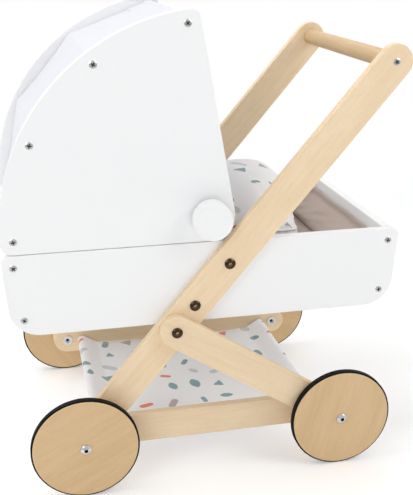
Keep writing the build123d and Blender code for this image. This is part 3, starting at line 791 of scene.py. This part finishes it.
def make_hood_cloth(cloth):
    """The canvas of the hood, stretched flat from bar to bar."""
    line, pivot, bars = hood_line(cloth)
    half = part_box(HOOD_BARS[0])[1].y - cloth.side_gap
    marks = [line.distance_to(bar + (bar - pivot).normalized() * BAR_PROBE) for bar in bars]

    def between(along):
        """0 at a bar and beyond the outer bars, and 1 halfway between two bars."""
        for start, end in zip(marks, marks[1:]):
            if start < along < end:
                return math.sin(math.pi * (along - start) / (end - start))
        return 0.0

    def where(along, across):
        point, outwards = line.at(along)
        edge = ease(abs(across), half * 0.45, half)
        hem = hem_share(across, half, cloth)
        span = between(along)
        rise = cloth.hem_rise * hem
        rise -= cloth.hood_sag * span * (0.35 + 0.65 * edge)
        rise += cloth.hood_ripple * span * edge * wander(along * 38, math.copysign(3.1, across), 0.2)
        rise += 0.35 * cloth.hood_ripple * span * wander(along * 24, across * 30, 5.0)
        nearest = min(abs(along - mark) for mark in marks[1:3])
        pulled = ease(nearest, 0.03, 0.006) * ease(nearest, 0.0, 0.006)
        rise += 0.5 * cloth.hood_ripple * pulled * wander(along * 9, across * 85, 8.0)
        spot = point + outwards * rise
        return Vector((spot.x, across, spot.y))

    sheet = ClothSheet(line.length, 2 * half, where)
    return sheet, line, half, marks


def basket_line(cloth):
    """The basket cloth's line over both bars and back below them, and the distances of its two seams."""
    front, rear = [flat_xz(middle(bar)) for bar in CROSS_BARS]
    radius = sleeve_radius(CROSS_BARS[0], cloth)
    span = rear.x - front.x - 2 * cloth.seam_run

    def hanging(x):
        """The main cloth's place at a distance from the front seam."""
        done = x / span
        sag = 4 * cloth.basket_sag * done * (1 - done)
        return Vector((front.x + cloth.seam_run + x, front.y - radius - sag))

    def meeting(bar, point, side):
        """The angle at which a straight run from a point touches the cloth's ring round a bar."""
        reach = point - bar
        return math.atan2(reach.y, reach.x) + side * math.acos(radius / reach.length)

    below = Vector((0.0, -1.15 * cloth.thickness))
    line = Profile()
    line.to(hanging(cloth.seam_allowance) + below)
    line.to(hanging(0.0) + below)
    under, over = meeting(front, hanging(0.0) + below, -1), meeting(front, hanging(0.0), 1)
    line.arc(front, radius, under, over - FULL_TURN)
    line.to(hanging(0.0))
    starts = line.length
    steps = 40
    for step in range(1, steps + 1):
        line.to(hanging(span * step / steps))
    ends = line.length
    over, under = meeting(rear, hanging(span), -1), meeting(rear, hanging(span) + below, 1)
    line.arc(rear, radius, over % FULL_TURN, under % FULL_TURN - FULL_TURN)
    line.to(hanging(span) + below)
    line.to(hanging(span - cloth.seam_allowance) + below)
    return line, starts, ends


def make_basket_cloth(cloth):
    """The printed basket, with soft folds that run in from its sleeves."""
    line, starts, ends = basket_line(cloth)
    low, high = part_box("basket")
    half = (high.y - low.y) / 2

    def where(along, across):
        point, outwards = line.at(along)
        from_end = min(along - starts, ends - along)
        inside = ease(from_end, cloth.seam_allowance, cloth.seam_allowance + 0.014)
        gathers = ease(from_end, 0.075, 0.012) * wander(from_end * 9, across * 58, math.copysign(2.0, along - 0.2))
        folds = wander(along * 13, across * 17, 1.5) + 0.4 * wander(along * 30, across * 36, 4.0)
        hem = hem_share(across, half, cloth)
        slack = wander(along * 21, math.copysign(4.0, across), 0.7) * ease(abs(across), half * 0.7, half)
        rise = inside * cloth.basket_ripple * (0.55 * gathers + 0.75 * folds + 0.7 * slack)
        rise += inside * cloth.hem_rise * hem
        spot = point + outwards * rise
        return Vector((spot.x, across, spot.y))

    sheet = ClothSheet(line.length, 2 * half, where)
    return sheet, line, half, starts, ends


def lining_profile(cloth):
    """The lining's wall from its foot to its hem, as inward run and height: up, over the mattress, and up again."""
    low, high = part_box("lining")
    lap_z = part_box("mattress")[1].z + cloth.thickness
    hem_z = high.z + cloth.lining_lift
    bend = 3 * cloth.thickness
    line = Profile()
    line.to((0.0, low.z))
    line.arc(Vector((bend, lap_z - bend)), bend, math.pi, math.pi / 2)
    fold = Vector((cloth.lining_lap, lap_z + bend))
    leaves = math.atan2(cloth.lining_lap, hem_z - cloth.hem_width - fold.y)
    line.arc(fold, bend, -math.pi / 2, leaves)
    line.to((cloth.thickness, hem_z - cloth.hem_width))
    line.to((cloth.thickness, hem_z))
    return line, line.distance_to(fold + Vector((bend, 0.0)))


def lining_wall(end, cloth):
    """One U-shaped wall of the lining, from a hood bracket round an end of the tub to the other bracket."""
    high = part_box("lining")[1]
    line, fold_at = lining_profile(cloth)
    lean = math.tan(END_BOARD_LEAN)
    slit_low, slit_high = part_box("left_hood_bracket")
    margin = 0.003
    slit = slit_high.x + margin if end > 0 else -(slit_low.x - margin)
    wall_y = high.y - cloth.thickness / 2
    corner = cloth.lining_corner
    top_x = high.x - cloth.thickness

    side_run = top_x - corner - slit
    arc_run = corner * math.pi / 2
    end_run = 2 * (wall_y - corner)
    total = 2 * side_run + 2 * arc_run + end_run

    def foot(along, drop):
        """The wall's place on the tub's boards at a drop below the plain hem, and the way into the tub."""
        shrink = drop * lean
        if along > total / 2:
            spot, inward = foot(total - along, drop)
            return Vector((spot.x, -spot.y)), Vector((inward.x, -inward.y))
        if along < side_run:
            x = slit + along * (side_run - shrink) / side_run
            return Vector((x, -wall_y)), Vector((0.0, 1.0))
        if along < side_run + arc_run:
            turned = (along - side_run) / corner
            centre = Vector((top_x - shrink - corner, -wall_y + corner))
            outward = Vector((math.sin(turned), -math.cos(turned)))
            return centre + corner * outward, -outward
        y = -wall_y + corner + (along - side_run - arc_run)
        return Vector((top_x - shrink, y)), Vector((-1.0, 0.0))

    hem_at = line.length - cloth.hem_width

    def where(along, across):
        distance = across + line.length / 2
        point, _ = line.at(distance)
        loose = ease(distance, fold_at, fold_at + 0.008) * ease(distance, hem_at, hem_at - 0.012)
        slant = distance + 0.33 * along
        folds = wander(slant * 30, along * 9, 2.0 * end)
        creases = 1.0 - 2.6 * abs(wander(slant * 95, along * 15, 6.0 * end))
        billow = 0.5 + 0.75 * folds + 0.35 * creases
        hem = ease(distance, hem_at - 0.0005, hem_at + 0.0015)
        pinch = ease(abs(distance - hem_at), 0.004, 0.0)
        inward_run = point.x + cloth.lining_fold * loose * billow + cloth.hem_rise * (hem - pinch)
        wave = ease(distance, fold_at, line.length) * (0.5 + 0.9 * wander(along * 17, 3.3, end))
        height = point.y - max(0.0, cloth.lining_wave * wave)
        spot, inward = foot(along, high.z - height)
        spot = spot + inward * inward_run
        return Vector((end * spot.x, end * spot.y, height))

    return ClothSheet(total, line.length, where), total, line.length


def make_lining(cloth):
    """The tub's lining: a floor and two walls."""
    low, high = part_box("lining")
    lean_in = (high.z - low.z) * math.tan(END_BOARD_LEAN)
    half_length = high.x - lean_in - 1.5 * cloth.thickness
    half_width = high.y - 1.5 * cloth.thickness

    def floor(along, across):
        return Vector((half_length - along, across, low.z + cloth.thickness / 2))

    walls = [lining_wall(end, cloth) for end in (-1, 1)]
    sheets = [ClothSheet(2 * half_length, 2 * half_width, floor)] + [wall[0] for wall in walls]
    return sheets, walls


# Stuffed bedding


def pad_from_node(name, node, bedding, shrink):
    """A pad of even small faces in a node's form, drawn in a little above its foot so that it can swell."""
    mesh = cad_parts[node].data.copy()
    low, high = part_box(node)
    foot = Vector(((low.x + high.x) / 2, (low.y + high.y) / 2, low.z))
    size = high - low
    drawn_in = Matrix.Diagonal([1 - 2 * shrink / size.x, 1 - 2 * shrink / size.y, 1 - shrink / size.z]).to_4x4()
    mesh.transform(Matrix.Translation(foot) @ drawn_in @ Matrix.Translation(-foot))
    source = new_object(f"{name}_source", mesh)
    remesh = source.modifiers.new("Even faces", "REMESH")
    remesh.mode = "VOXEL"
    remesh.voxel_size = bedding.voxel
    graph = bpy.context.evaluated_depsgraph_get()
    pad = new_object(name, bpy.data.meshes.new_from_object(source.evaluated_get(graph)))
    bpy.data.objects.remove(source)
    pad.data.name = name
    pad.data.shade_smooth()
    return pad


def puff(pad, bedding, cap, top):
    """Swell a pad outwards with a short cloth simulation, with its bottom kept flat and its moves capped."""
    rest = [vertex.co.copy() for vertex in pad.data.vertices]
    outward = [vertex.normal.copy() for vertex in pad.data.vertices]
    bottom = min(spot.z for spot in rest)
    held = pad.vertex_groups.new(name="resting")
    held.add([index for index, spot in enumerate(rest) if spot.z < bottom + bedding.voxel * 0.6], 1.0, "REPLACE")
    modifier = pad.modifiers.new("Filling", "CLOTH")
    cloth = modifier.settings
    cloth.quality = 6
    cloth.use_pressure = True
    cloth.uniform_pressure_force = bedding.pressure
    cloth.shrink_min = -bedding.slack
    cloth.bending_stiffness = 0.1
    cloth.vertex_group_mass = held.name
    cloth.effector_weights.gravity = 0.0
    modifier.point_cache.frame_start = 1
    modifier.point_cache.frame_end = bedding.frames
    scene = bpy.context.scene
    for number in range(1, bedding.frames + 1):
        scene.frame_set(number)
    graph = bpy.context.evaluated_depsgraph_get()
    swollen = bpy.data.meshes.new_from_object(pad.evaluated_get(graph))
    for vertex, settled, spot, way in zip(pad.data.vertices, swollen.vertices, rest, outward):
        vertex.co = spot + way * min(max((settled.co - spot).dot(way), 0.0), cap)
        vertex.co.z = min(max(vertex.co.z, bottom), top)
    pad.modifiers.remove(modifier)
    pad.vertex_groups.remove(held)
    bpy.data.meshes.remove(swollen)
    scene.frame_set(1)


def subdivide(piece):
    """Apply one smooth subdivision to a piece."""
    modifier = piece.modifiers.new("Smooth", "SUBSURF")
    modifier.levels = 1
    graph = bpy.context.evaluated_depsgraph_get()
    mesh = bpy.data.meshes.new_from_object(piece.evaluated_get(graph))
    piece.modifiers.remove(modifier)
    old = piece.data
    piece.data = mesh
    bpy.data.meshes.remove(old)
    mesh.shade_smooth()


def girth(piece, height, count):
    """Places round a pad at a height, where rays towards its upright axis meet it."""
    tree = BVHTree.FromObject(piece, bpy.context.evaluated_depsgraph_get())
    spots = [vertex.co for vertex in piece.data.vertices]
    centre_x = (min(s.x for s in spots) + max(s.x for s in spots)) / 2
    found = []
    for number in range(count):
        turned = FULL_TURN * number / count
        way = Vector((math.cos(turned), math.sin(turned), 0.0))
        hit = tree.ray_cast(Vector((centre_x, 0.0, height)) + way, -way)[0]
        found.append(hit)
    return found


def running_lengths(points):
    """The distance along a line to each of its points."""
    lengths = [0.0]
    for first, second in zip(points, points[1:]):
        lengths.append(lengths[-1] + (second - first).length)
    return lengths


def even_ring(places, count):
    """Points spaced evenly along a closed line of places."""
    closed = places + places[:1]
    lengths = running_lengths(closed)
    points, index = [], 1
    for number in range(count):
        wanted = lengths[-1] * number / count
        while lengths[index] < wanted:
            index += 1
        done = (wanted - lengths[index - 1]) / (lengths[index] - lengths[index - 1])
        points.append(closed[index - 1].lerp(closed[index], done))
    return points


def piping(name, path, radius):
    """A closed tube along a ring of points."""
    points = []
    count = len(path)
    for number, centre in enumerate(path):
        way = (path[(number + 1) % count] - path[number - 1]).normalized()
        points += thread_ring(centre, way, Vector((0.0, 0.0, 1.0)), radius, PIPING_SIDES)
    piece = mesh_object(name, points, tube_faces(0, count, PIPING_SIDES, closed=True))
    unroll(piece)
    return piece


def gather_seam(pad, ring, bedding):
    """Raise small gathers on a pad beside its seam, running out from the seam and fading."""
    tree = BVHTree.FromPolygons([tuple(p) for p in ring], [(k, (k + 1) % len(ring), k) for k in range(len(ring))])
    lengths = running_lengths(ring)
    bottom = min(vertex.co.z for vertex in pad.data.vertices)
    for vertex in pad.data.vertices:
        spot, _, index, distance = tree.find_nearest(vertex.co)
        fade = ease(distance, bedding.pucker_reach, 0.004) * ease(vertex.co.z, bottom, bottom + 0.004)
        if fade > 0.0:
            phase = lengths[index] + (spot - ring[index]).length
            phase += 0.004 * wander(phase * 60, 1.7, 0.3)
            size = 0.45 + 0.55 * wander(phase * 22, 4.1, 0.9)
            wave = math.sin(FULL_TURN * phase / bedding.pucker_pitch)
            groove = -ease(distance, 0.006, 0.0)
            vertex.co += vertex.normal * (bedding.pucker * (fade * size * wave + 0.8 * groove))


# Screws


def screw_places(node):
    """Where the heads of a node's screws lie, from the far ends of its solids."""
    groups = []
    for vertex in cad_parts[node].data.vertices:
        spot = vertex.co
        for group in groups:
            same_side = (group[0].y > 0) == (spot.y > 0)
            if same_side and math.hypot(group[0].x - spot.x, group[0].z - spot.z) < SCREW_REACH:
                group.append(spot)
                break
        else:
            groups.append([spot])
    places = []
    for group in groups:
        x = (min(s.x for s in group) + max(s.x for s in group)) / 2
        z = (min(s.z for s in group) + max(s.z for s in group)) / 2
        y = max((s.y for s in group), key=abs)
        places.append(Vector((x, y, z)))
    return places


def screw_mesh():
    """A raised countersunk head seen along Z, with a cross recess whose faces take the second material, a dark copy
    of the metal that paints shade into the recess.
    """
    radius, depth = SCREW_HEAD_RADIUS, SCREW_HEAD_DEPTH
    form = bmesh.new()
    sides = 40
    arm, reach = radius * 0.15, radius * 0.56
    cross = [(reach, -arm), (reach, arm), (arm, arm), (arm, reach), (-arm, reach), (-arm, arm)]
    cross += [(-x, -y) for x, y in cross]

    def ring(size, height):
        return [
            form.verts.new((size * math.cos(FULL_TURN * k / sides), size * math.sin(FULL_TURN * k / sides), height))
            for k in range(sides)
        ]

    def band(first, second):
        count = len(first)
        for k in range(count):
            form.faces.new((first[k], first[(k + 1) % count], second[(k + 1) % count], second[k]))

    crown = depth * 0.22
    neck = ring(radius * 0.55, -depth)
    rim = ring(radius, -depth * 0.03)
    shoulder = ring(radius * 0.86, crown * 0.55)
    top = ring(radius * 0.66, crown)
    for lower, upper in ((neck, rim), (rim, shoulder), (shoulder, top)):
        band(lower, upper)
    outside = len(form.faces)
    slot_top = [form.verts.new((x, y, crown)) for x, y in cross]
    slot_low = [form.verts.new((x * 0.72, y * 0.72, -depth * 0.7)) for x, y in cross]
    band(slot_top, slot_low)
    form.faces.new(slot_low)
    form.faces.ensure_lookup_table()
    for face in form.faces[outside:]:
        face.material_index = 1
    edges = []
    for loop in (top, slot_top):
        edges += [form.edges.get((loop[k - 1], loop[k])) for k in range(1, len(loop))]
        edges.append(form.edges.get((loop[-1], loop[0])))
    bmesh.ops.triangle_fill(form, edges=edges, use_beauty=True)
    form.faces.new(list(reversed(neck)))
    bmesh.ops.recalc_face_normals(form, faces=form.faces)
    mesh = bpy.data.meshes.new("screw_head")
    form.to_mesh(mesh)
    form.free()
    return mesh


def screw_group(name, node):
    """Cross-recess screws where a node has its plain ones, each turned its own way."""
    head = screw_mesh()
    form = bmesh.new()
    for number, spot in enumerate(screw_places(node)):
        outward = Vector((0.0, math.copysign(1.0, spot.y), 0.0))
        turned = outward.to_track_quat("Z", "Y").to_matrix().to_4x4()
        own = Matrix.Rotation(0.4 + 1.9 * number, 4, "Z")
        copy = head.copy()
        copy.transform(Matrix.Translation(spot) @ turned @ own)
        form.from_mesh(copy)
        bpy.data.meshes.remove(copy)
    mesh = bpy.data.meshes.new(name)
    form.to_mesh(mesh)
    form.free()
    bpy.data.meshes.remove(head)
    piece = new_object(name, mesh)
    mesh.shade_smooth()
    mesh.set_sharp_from_angle(angle=math.radians(35))
    return piece


# Operators


class PRAM_OT_stage(Operator):
    """Set up the camera, the lamps, the world and the floor"""

    bl_idname = "pram.stage"
    bl_label = "Stage"

    def execute(self, context):
        scene = context.scene
        stage = scene.pram_stage
        self.add_camera(scene, stage)
        for name, (spot, width) in LAMPS.items():
            self.add_lamp(scene, f"{name}_lamp", spot, width, getattr(stage, f"{name}_power"))
        self.light_world(scene, stage)
        self.lay_floor(stage)
        scene.view_settings.view_transform = "Standard"
        return {"FINISHED"}

    def add_camera(self, scene, stage):
        camera = bpy.data.objects.new("camera", bpy.data.cameras.new("camera"))
        scene.collection.objects.link(camera)
        level = math.cos(stage.elevation)
        back = Vector(
            (math.sin(stage.azimuth) * level, -math.cos(stage.azimuth) * level, math.sin(stage.elevation))
        )
        camera.location = stage.camera_place
        camera.rotation_euler = back.to_track_quat("Z", "Y").to_euler()
        camera.data.lens = stage.lens
        camera.data.shift_x = stage.shift_x
        camera.data.shift_y = stage.shift_y
        camera.data.clip_start = CLIP_START
        scene.camera = camera

    def add_lamp(self, scene, name, spot, width, watts):
        data = bpy.data.lights.new(name, "AREA")
        data.shape = "DISK"
        data.size = width
        data.energy = watts
        lamp = bpy.data.objects.new(name, data)
        scene.collection.objects.link(lamp)
        lamp.location = spot
        lamp.rotation_euler = (Vector(spot) - LAMP_AIM).to_track_quat("Z", "Y").to_euler()

    def light_world(self, scene, stage):
        """White where it is seen, even light elsewhere, and a dimmer room in front for reflections."""
        world = bpy.data.worlds.new("studio")
        scene.world = world
        world.use_nodes = True
        nodes, link = world.node_tree.nodes, world.node_tree.links.new
        path = nodes.new("ShaderNodeLightPath")
        parts = nodes.new("ShaderNodeSeparateXYZ")
        link(nodes.new("ShaderNodeTexCoord").outputs["Generated"], parts.inputs[0])

        def background(strength):
            added = nodes.new("ShaderNodeBackground")
            added.inputs["Color"].default_value = (1.0, 1.0, 1.0, 1.0)
            added.inputs["Strength"].default_value = strength
            return added

        def by_direction(front, back, front_level, back_level):
            """A light whose strength runs from one level in front to another behind."""
            added = background(1.0)
            spread = nodes.new("ShaderNodeMapRange")
            spread.interpolation_type = "SMOOTHSTEP"
            for socket, value in zip(spread.inputs[1:5], (front, back, front_level, back_level)):
                socket.default_value = value
            link(parts.outputs["Y"], spread.inputs[0])
            link(spread.outputs[0], added.inputs["Strength"])
            return added

        seen = nodes.new("ShaderNodeMath")
        seen.operation = "MAXIMUM"
        link(path.outputs["Is Camera Ray"], seen.inputs[0])
        link(path.outputs["Is Transmission Ray"], seen.inputs[1])
        surface = by_direction(-1.0, 1.0, stage.front_ambient, stage.back_ambient)
        room = by_direction(-0.85, -0.35, stage.room_level, 1.0)
        for mask, other in ((path.outputs["Is Glossy Ray"], room), (seen.outputs[0], background(1.0))):
            mix = nodes.new("ShaderNodeMixShader")
            link(mask, mix.inputs[0])
            link(surface.outputs[0], mix.inputs[1])
            link(other.outputs[0], mix.inputs[2])
            surface = mix
        link(surface.outputs[0], nodes["World Output"].inputs["Surface"])

    def lay_floor(self, stage):
        """A lit white table that keeps the shadows near the pram and turns plain white further out."""
        corners = [(x * FLOOR_REACH, y * FLOOR_REACH, 0.0) for x, y in ((-1, -1), (1, -1), (1, 1), (-1, 1))]
        floor = mesh_object("floor", corners, [(0, 1, 2, 3)])
        finish = Finish("floor_white")
        path = finish.nodes.new("ShaderNodeLightPath")
        seen = finish.math("MAXIMUM", path.outputs["Is Camera Ray"], path.outputs["Is Transmission Ray"])
        glossy = path.outputs["Is Glossy Ray"]
        distance = finish.vector("LENGTH", finish.vector("MULTIPLY", finish.place, (1.0, 1.0, 0.0)))
        fade = finish.ease(distance, stage.floor_fade_start, stage.floor_fade_end)
        dim = finish.ease(distance, stage.reflected_start, stage.reflected_end)
        dim = finish.math("MULTIPLY", finish.math("MULTIPLY", glossy, dim), 1.0 - stage.room_level)
        hidden = finish.math("MAXIMUM", finish.math("MULTIPLY", seen, fade), dim)
        cast = finish.mix(hidden, stage.floor_colour, (0.0, 0.0, 0.0))
        shown = finish.math("MULTIPLY", seen, finish.spread(fade, stage.floor_glow, 1.0))
        unseen = finish.math("SUBTRACT", 1.0, finish.math("MAXIMUM", seen, glossy))
        glow = finish.math("MULTIPLY_ADD", unseen, stage.table_light, shown)
        finish.feed(finish.shader.inputs["Emission Color"], (1.0, 1.0, 1.0, 1.0))
        finish.feed(finish.shader.inputs["Emission Strength"], glow)
        dress(floor, finish.done(cast, 1.0, Specular_IOR_Level=0.0))


class PRAM_OT_boards(Operator):
    """Finish the birch boards, bars and wheels, each with its own grain, with the rails and struts darkened as
    painted shade
    """

    bl_idname = "pram.boards"
    bl_label = "Birch boards and wheels"

    def execute(self, context):
        look = context.scene.pram_finish
        # The tone darkens the birch of the rails and struts a little: painted shade for the dimmer light low down.
        boards = {
            "rail": (0.0, 0.94),
            "post": (self.slope("left_post", 1), 1.0),
            "strut": (self.slope("left_strut", -1), 0.95),
        }
        pale, deep = tuple(look.birch_pale), tuple(look.birch_deep)
        for name, (turned, tone) in boards.items():
            streaks = [[part * tone for part in streak] for streak in (pale, deep)]
            finish = board_finish(f"birch_{name}", *streaks, turned, look.ply_thickness)
            dress_nodes([f"{side}_{name}" for side in SIDES], finish)
        bars = CROSS_BARS + HOOD_BARS + ["front_axle_spacers", "rear_axle_spacers"]
        dress_nodes(bars, bar_finish("birch_bar", pale, deep))
        pale, deep = tuple(look.wheel_pale), tuple(look.wheel_deep)
        dress_nodes(["handle_bar"], bar_finish("birch_handle_bar", pale, deep))
        # The wheels' plywood colours are partly their own darker tone and partly painted shade for the dimmer light
        # low down.
        turns = {"front_left": 0.5, "front_right": 2.2, "rear_left": 1.3, "rear_right": -0.4}
        for name, turned in turns.items():
            finish = board_finish(f"plywood_{name}_wheel", pale, deep, turned, look.ply_thickness)
            dress_nodes([f"{name}_wheel"], finish)
        dress_nodes([f"{name}_tyre" for name in turns], rubber_finish("tyre_rubber_band", tuple(look.rubber)))
        return {"FINISHED"}

    def slope(self, node, rising):
        """The angle of a slanting board with round ends, from its box and its width."""
        low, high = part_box(node)
        return rising * math.atan2(high.z - low.z - BOARD_WIDTH, high.x - low.x - BOARD_WIDTH)


class PRAM_OT_painted(Operator):
    """Finish the painted tub, hood sides and knobs"""

    bl_idname = "pram.painted"
    bl_label = "Painted tub and hood"

    def execute(self, context):
        look = context.scene.pram_finish
        finish = paint_finish("satin_white_paint", tuple(look.paint), tuple(look.paint_worn))
        pairs = ("side_panel", "hood_panel", "hood_bracket", "knob")
        names = [f"{side}_{name}" for side in SIDES for name in pairs]
        dress_nodes(names + ["head_board", "foot_board", "floor_board"], finish)
        return {"FINISHED"}


class PRAM_OT_fasteners(Operator):
    """Finish the bolts, nuts and washers, and put cross-recess screws in the boards"""

    bl_idname = "pram.fasteners"
    bl_label = "Fasteners"

    def execute(self, context):
        look = context.scene.pram_finish
        steel, socket_highlight = tuple(look.dark_steel), tuple(look.socket_highlight)
        # The frame bolts' sockets take a painted highlight.
        for name in ("post_bolts", "strut_bolts"):
            dress_nodes([name], metal_finish(f"{name}_steel", steel, 0.1, 0.18, 0.15, name, socket_highlight))
        chrome = tuple(look.chrome)
        # Painted shade: the axle bolts' sockets take a dark copy of the chrome.
        shaded = [part * SOCKET_SHADE for part in chrome]
        dress_nodes(["axle_bolts"], metal_finish("polished_chrome", chrome, 0.07, 0.14, 0.03, "axle_bolts", shaded))
        dress_nodes(["axle_washers"], nylon_finish("natural_nylon", tuple(look.nylon)))
        nickel = metal_finish("nickel_plate", tuple(look.nickel), 0.16, 0.26, 0.05)
        plated = ["cross_bar_screws", "post_nuts", "strut_nuts", "axle_nuts", "knob_inserts"]
        dress_nodes(plated + [f"{side}_knob_stud" for side in SIDES], nickel)
        # Painted shade: a dark copy of the nickel for the screws' cross recesses.
        recess = metal_finish("shaded_recess", [part * CROSS_SHADE for part in look.nickel], 0.4, 0.5, 0.1)
        for name, node, body in (
            ("tub_screws", "body_screws", "chassis"),
            ("hood_side_screws", "hood_screws", "hood"),
            ("handle_bar_screws", "handle_screws", "chassis"),
        ):
            piece = screw_group(name, node)
            for finish in (nickel, recess):
                piece.data.materials.append(finish)
            fit([piece], body, node)
        return {"FINISHED"}


class PRAM_OT_hood_cloth(Operator):
    """Stretch the canvas over the hood's bars and sew it"""

    bl_idname = "pram.hood_cloth"
    bl_label = "Hood cloth"

    def execute(self, context):
        cloth = context.scene.pram_cloth
        look = context.scene.pram_finish
        sheet, line, half, marks = make_hood_cloth(cloth)
        piece = sheet_object("hood_canvas", [sheet], cloth)
        dress(piece, cloth_finish("hood_canvas_cotton", tuple(look.hood_cloth), look, coarse=1.2))
        inset = half - cloth.hem_width + STITCH_INSET
        first, last = marks[0] + cloth.seam_run, marks[-1] - cloth.seam_run
        rows = [(sheet, (along, -inset), (along, inset), True) for along in (first, last)]
        rows += [(sheet, (first, side * inset), (last, side * inset), True) for side in (-1, 1)]
        seams = stitches("hood_canvas_stitching", rows, cloth)
        dress(seams, cloth_finish("hood_thread", tuple(look.thread), look, coarse=0.4))
        fit([piece, seams], "hood", "hood_cover")
        return {"FINISHED"}


class PRAM_OT_basket_cloth(Operator):
    """Hang the printed basket on its two cross bars and sew it"""

    bl_idname = "pram.basket_cloth"
    bl_label = "Basket cloth"

    def execute(self, context):
        cloth = context.scene.pram_cloth
        look = context.scene.pram_finish
        sheet, line, half, starts, ends = make_basket_cloth(cloth)
        piece = sheet_object("basket_cloth", [sheet], cloth)
        dress(piece, cloth_finish("basket_print_cotton", tuple(look.print_ground), look, printed=True))
        inset = half - cloth.hem_width + STITCH_INSET
        inner = cloth.seam_allowance
        seams_at = (inner, starts, ends, line.length - inner)
        rows = [(sheet, (along, -inset), (along, inset), False) for along in seams_at]
        for side in (-1, 1):
            rows += [(sheet, (starts, side * inset), (ends, side * inset), outer) for outer in (True, False)]
        seams = stitches("basket_stitching", rows, cloth)
        dress(seams, cloth_finish("basket_thread", tuple(look.thread), look, coarse=0.4))
        fit([piece, seams], "chassis", "basket")
        return {"FINISHED"}


class PRAM_OT_lining_cloth(Operator):
    """Line the tub with plain cotton, loose in soft folds along its walls"""

    bl_idname = "pram.lining_cloth"
    bl_label = "Tub lining"

    def execute(self, context):
        cloth = context.scene.pram_cloth
        look = context.scene.pram_finish
        sheets, walls = make_lining(cloth)
        piece = sheet_object("tub_lining_cloth", sheets, cloth)
        dress(piece, cloth_finish("lining_cotton", tuple(look.lining), look))
        rows = []
        for wall, total, height in walls:
            across = height / 2 - cloth.hem_width + STITCH_INSET
            rows.append((wall, (LINING_END, across), (total - LINING_END, across), False))
        seams = stitches("lining_stitching", rows, cloth)
        dress(seams, cloth_finish("lining_thread", tuple(look.lining), look, coarse=0.4))
        fit([piece, seams], "chassis", "lining")
        return {"FINISHED"}


class PRAM_OT_bedding(Operator):
    """Puff up the mattress and the duvet, and sew their seams"""

    bl_idname = "pram.bedding"
    bl_label = "Mattress and duvet"

    def execute(self, context):
        bedding = context.scene.pram_bedding
        look = context.scene.pram_finish
        lining, ground = tuple(look.lining), tuple(look.print_ground)
        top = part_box("mattress")[1].z
        mattress = pad_from_node("mattress_pad", "mattress", bedding, bedding.mattress_shrink)
        puff(mattress, bedding, bedding.mattress_cap, top)
        subdivide(mattress)
        unroll(mattress, top)
        dress(mattress, cloth_finish("mattress_cotton", lining, look))
        edge = girth(mattress, top - MATTRESS_SEAM_DROP, MATTRESS_SEAM_RAYS)
        edge = even_ring(edge, MATTRESS_SEAM_POINTS)
        cord = piping("mattress_piping", edge, bedding.piping_radius)
        dress(cord, cloth_finish("mattress_piping_cotton", lining, look, coarse=0.6))
        fit([mattress, cord], "chassis", "mattress")

        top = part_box("duvet")[1].z
        duvet = pad_from_node("duvet_quilt", "duvet", bedding, bedding.duvet_shrink)
        puff(duvet, bedding, bedding.duvet_cap, top + DUVET_RISE)
        subdivide(duvet)
        unroll(duvet, top)
        rim_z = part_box("left_side_panel")[1].z
        seam = girth(duvet, rim_z - DUVET_SEAM_DROP, DUVET_SEAM_RAYS)
        seam = even_ring(seam, DUVET_SEAM_POINTS)
        gather_seam(duvet, seam, bedding)
        dress(duvet, cloth_finish("duvet_print_cotton", ground, look, printed=True))
        cord = piping("duvet_piping", seam, bedding.piping_radius)
        dress(cord, cloth_finish("duvet_piping_cotton", ground, look, coarse=0.6))
        fit([duvet, cord], "chassis", "duvet")
        return {"FINISHED"}


class PRAM_PT_sidebar(Panel):
    """Lists the steps that dress the pram"""

    bl_idname = "PRAM_PT_sidebar"
    bl_label = "Doll's pram"
    bl_space_type = "VIEW_3D"
    bl_region_type = "UI"
    bl_category = "Pram"

    def draw(self, context):
        for step in STEPS:
            self.layout.operator(step.bl_idname)
        for name in SETTINGS:
            box = self.layout.box()
            group = getattr(context.scene, name)
            for key in group.bl_rna.properties.keys():
                if key not in ("rna_type", "name"):
                    box.prop(group, key)


SETTINGS = {
    "pram_stage": PramStageSettings,
    "pram_finish": PramFinishSettings,
    "pram_cloth": PramClothSettings,
    "pram_bedding": PramBeddingSettings,
}
STEPS = (
    PRAM_OT_stage,
    PRAM_OT_boards,
    PRAM_OT_painted,
    PRAM_OT_fasteners,
    PRAM_OT_hood_cloth,
    PRAM_OT_basket_cloth,
    PRAM_OT_lining_cloth,
    PRAM_OT_bedding,
)


def register():
    """Register the settings, the steps and the sidebar."""
    for name, group in SETTINGS.items():
        bpy.utils.register_class(group)
        setattr(bpy.types.Scene, name, PointerProperty(type=group))
    for step in (*STEPS, PRAM_PT_sidebar):
        bpy.utils.register_class(step)


def unregister():
    """Take back what register added."""
    for step in reversed((*STEPS, PRAM_PT_sidebar)):
        bpy.utils.unregister_class(step)
    for name, group in SETTINGS.items():
        delattr(bpy.types.Scene, name)
        bpy.utils.unregister_class(group)


def main():
    """Dress the pram step by step."""
    register()
    bpy.ops.pram.stage()
    bpy.ops.pram.boards()
    bpy.ops.pram.painted()
    bpy.ops.pram.fasteners()
    bpy.ops.pram.hood_cloth()
    bpy.ops.pram.basket_cloth()
    bpy.ops.pram.lining_cloth()
    bpy.ops.pram.bedding()


if __name__ == "__main__":
    main()
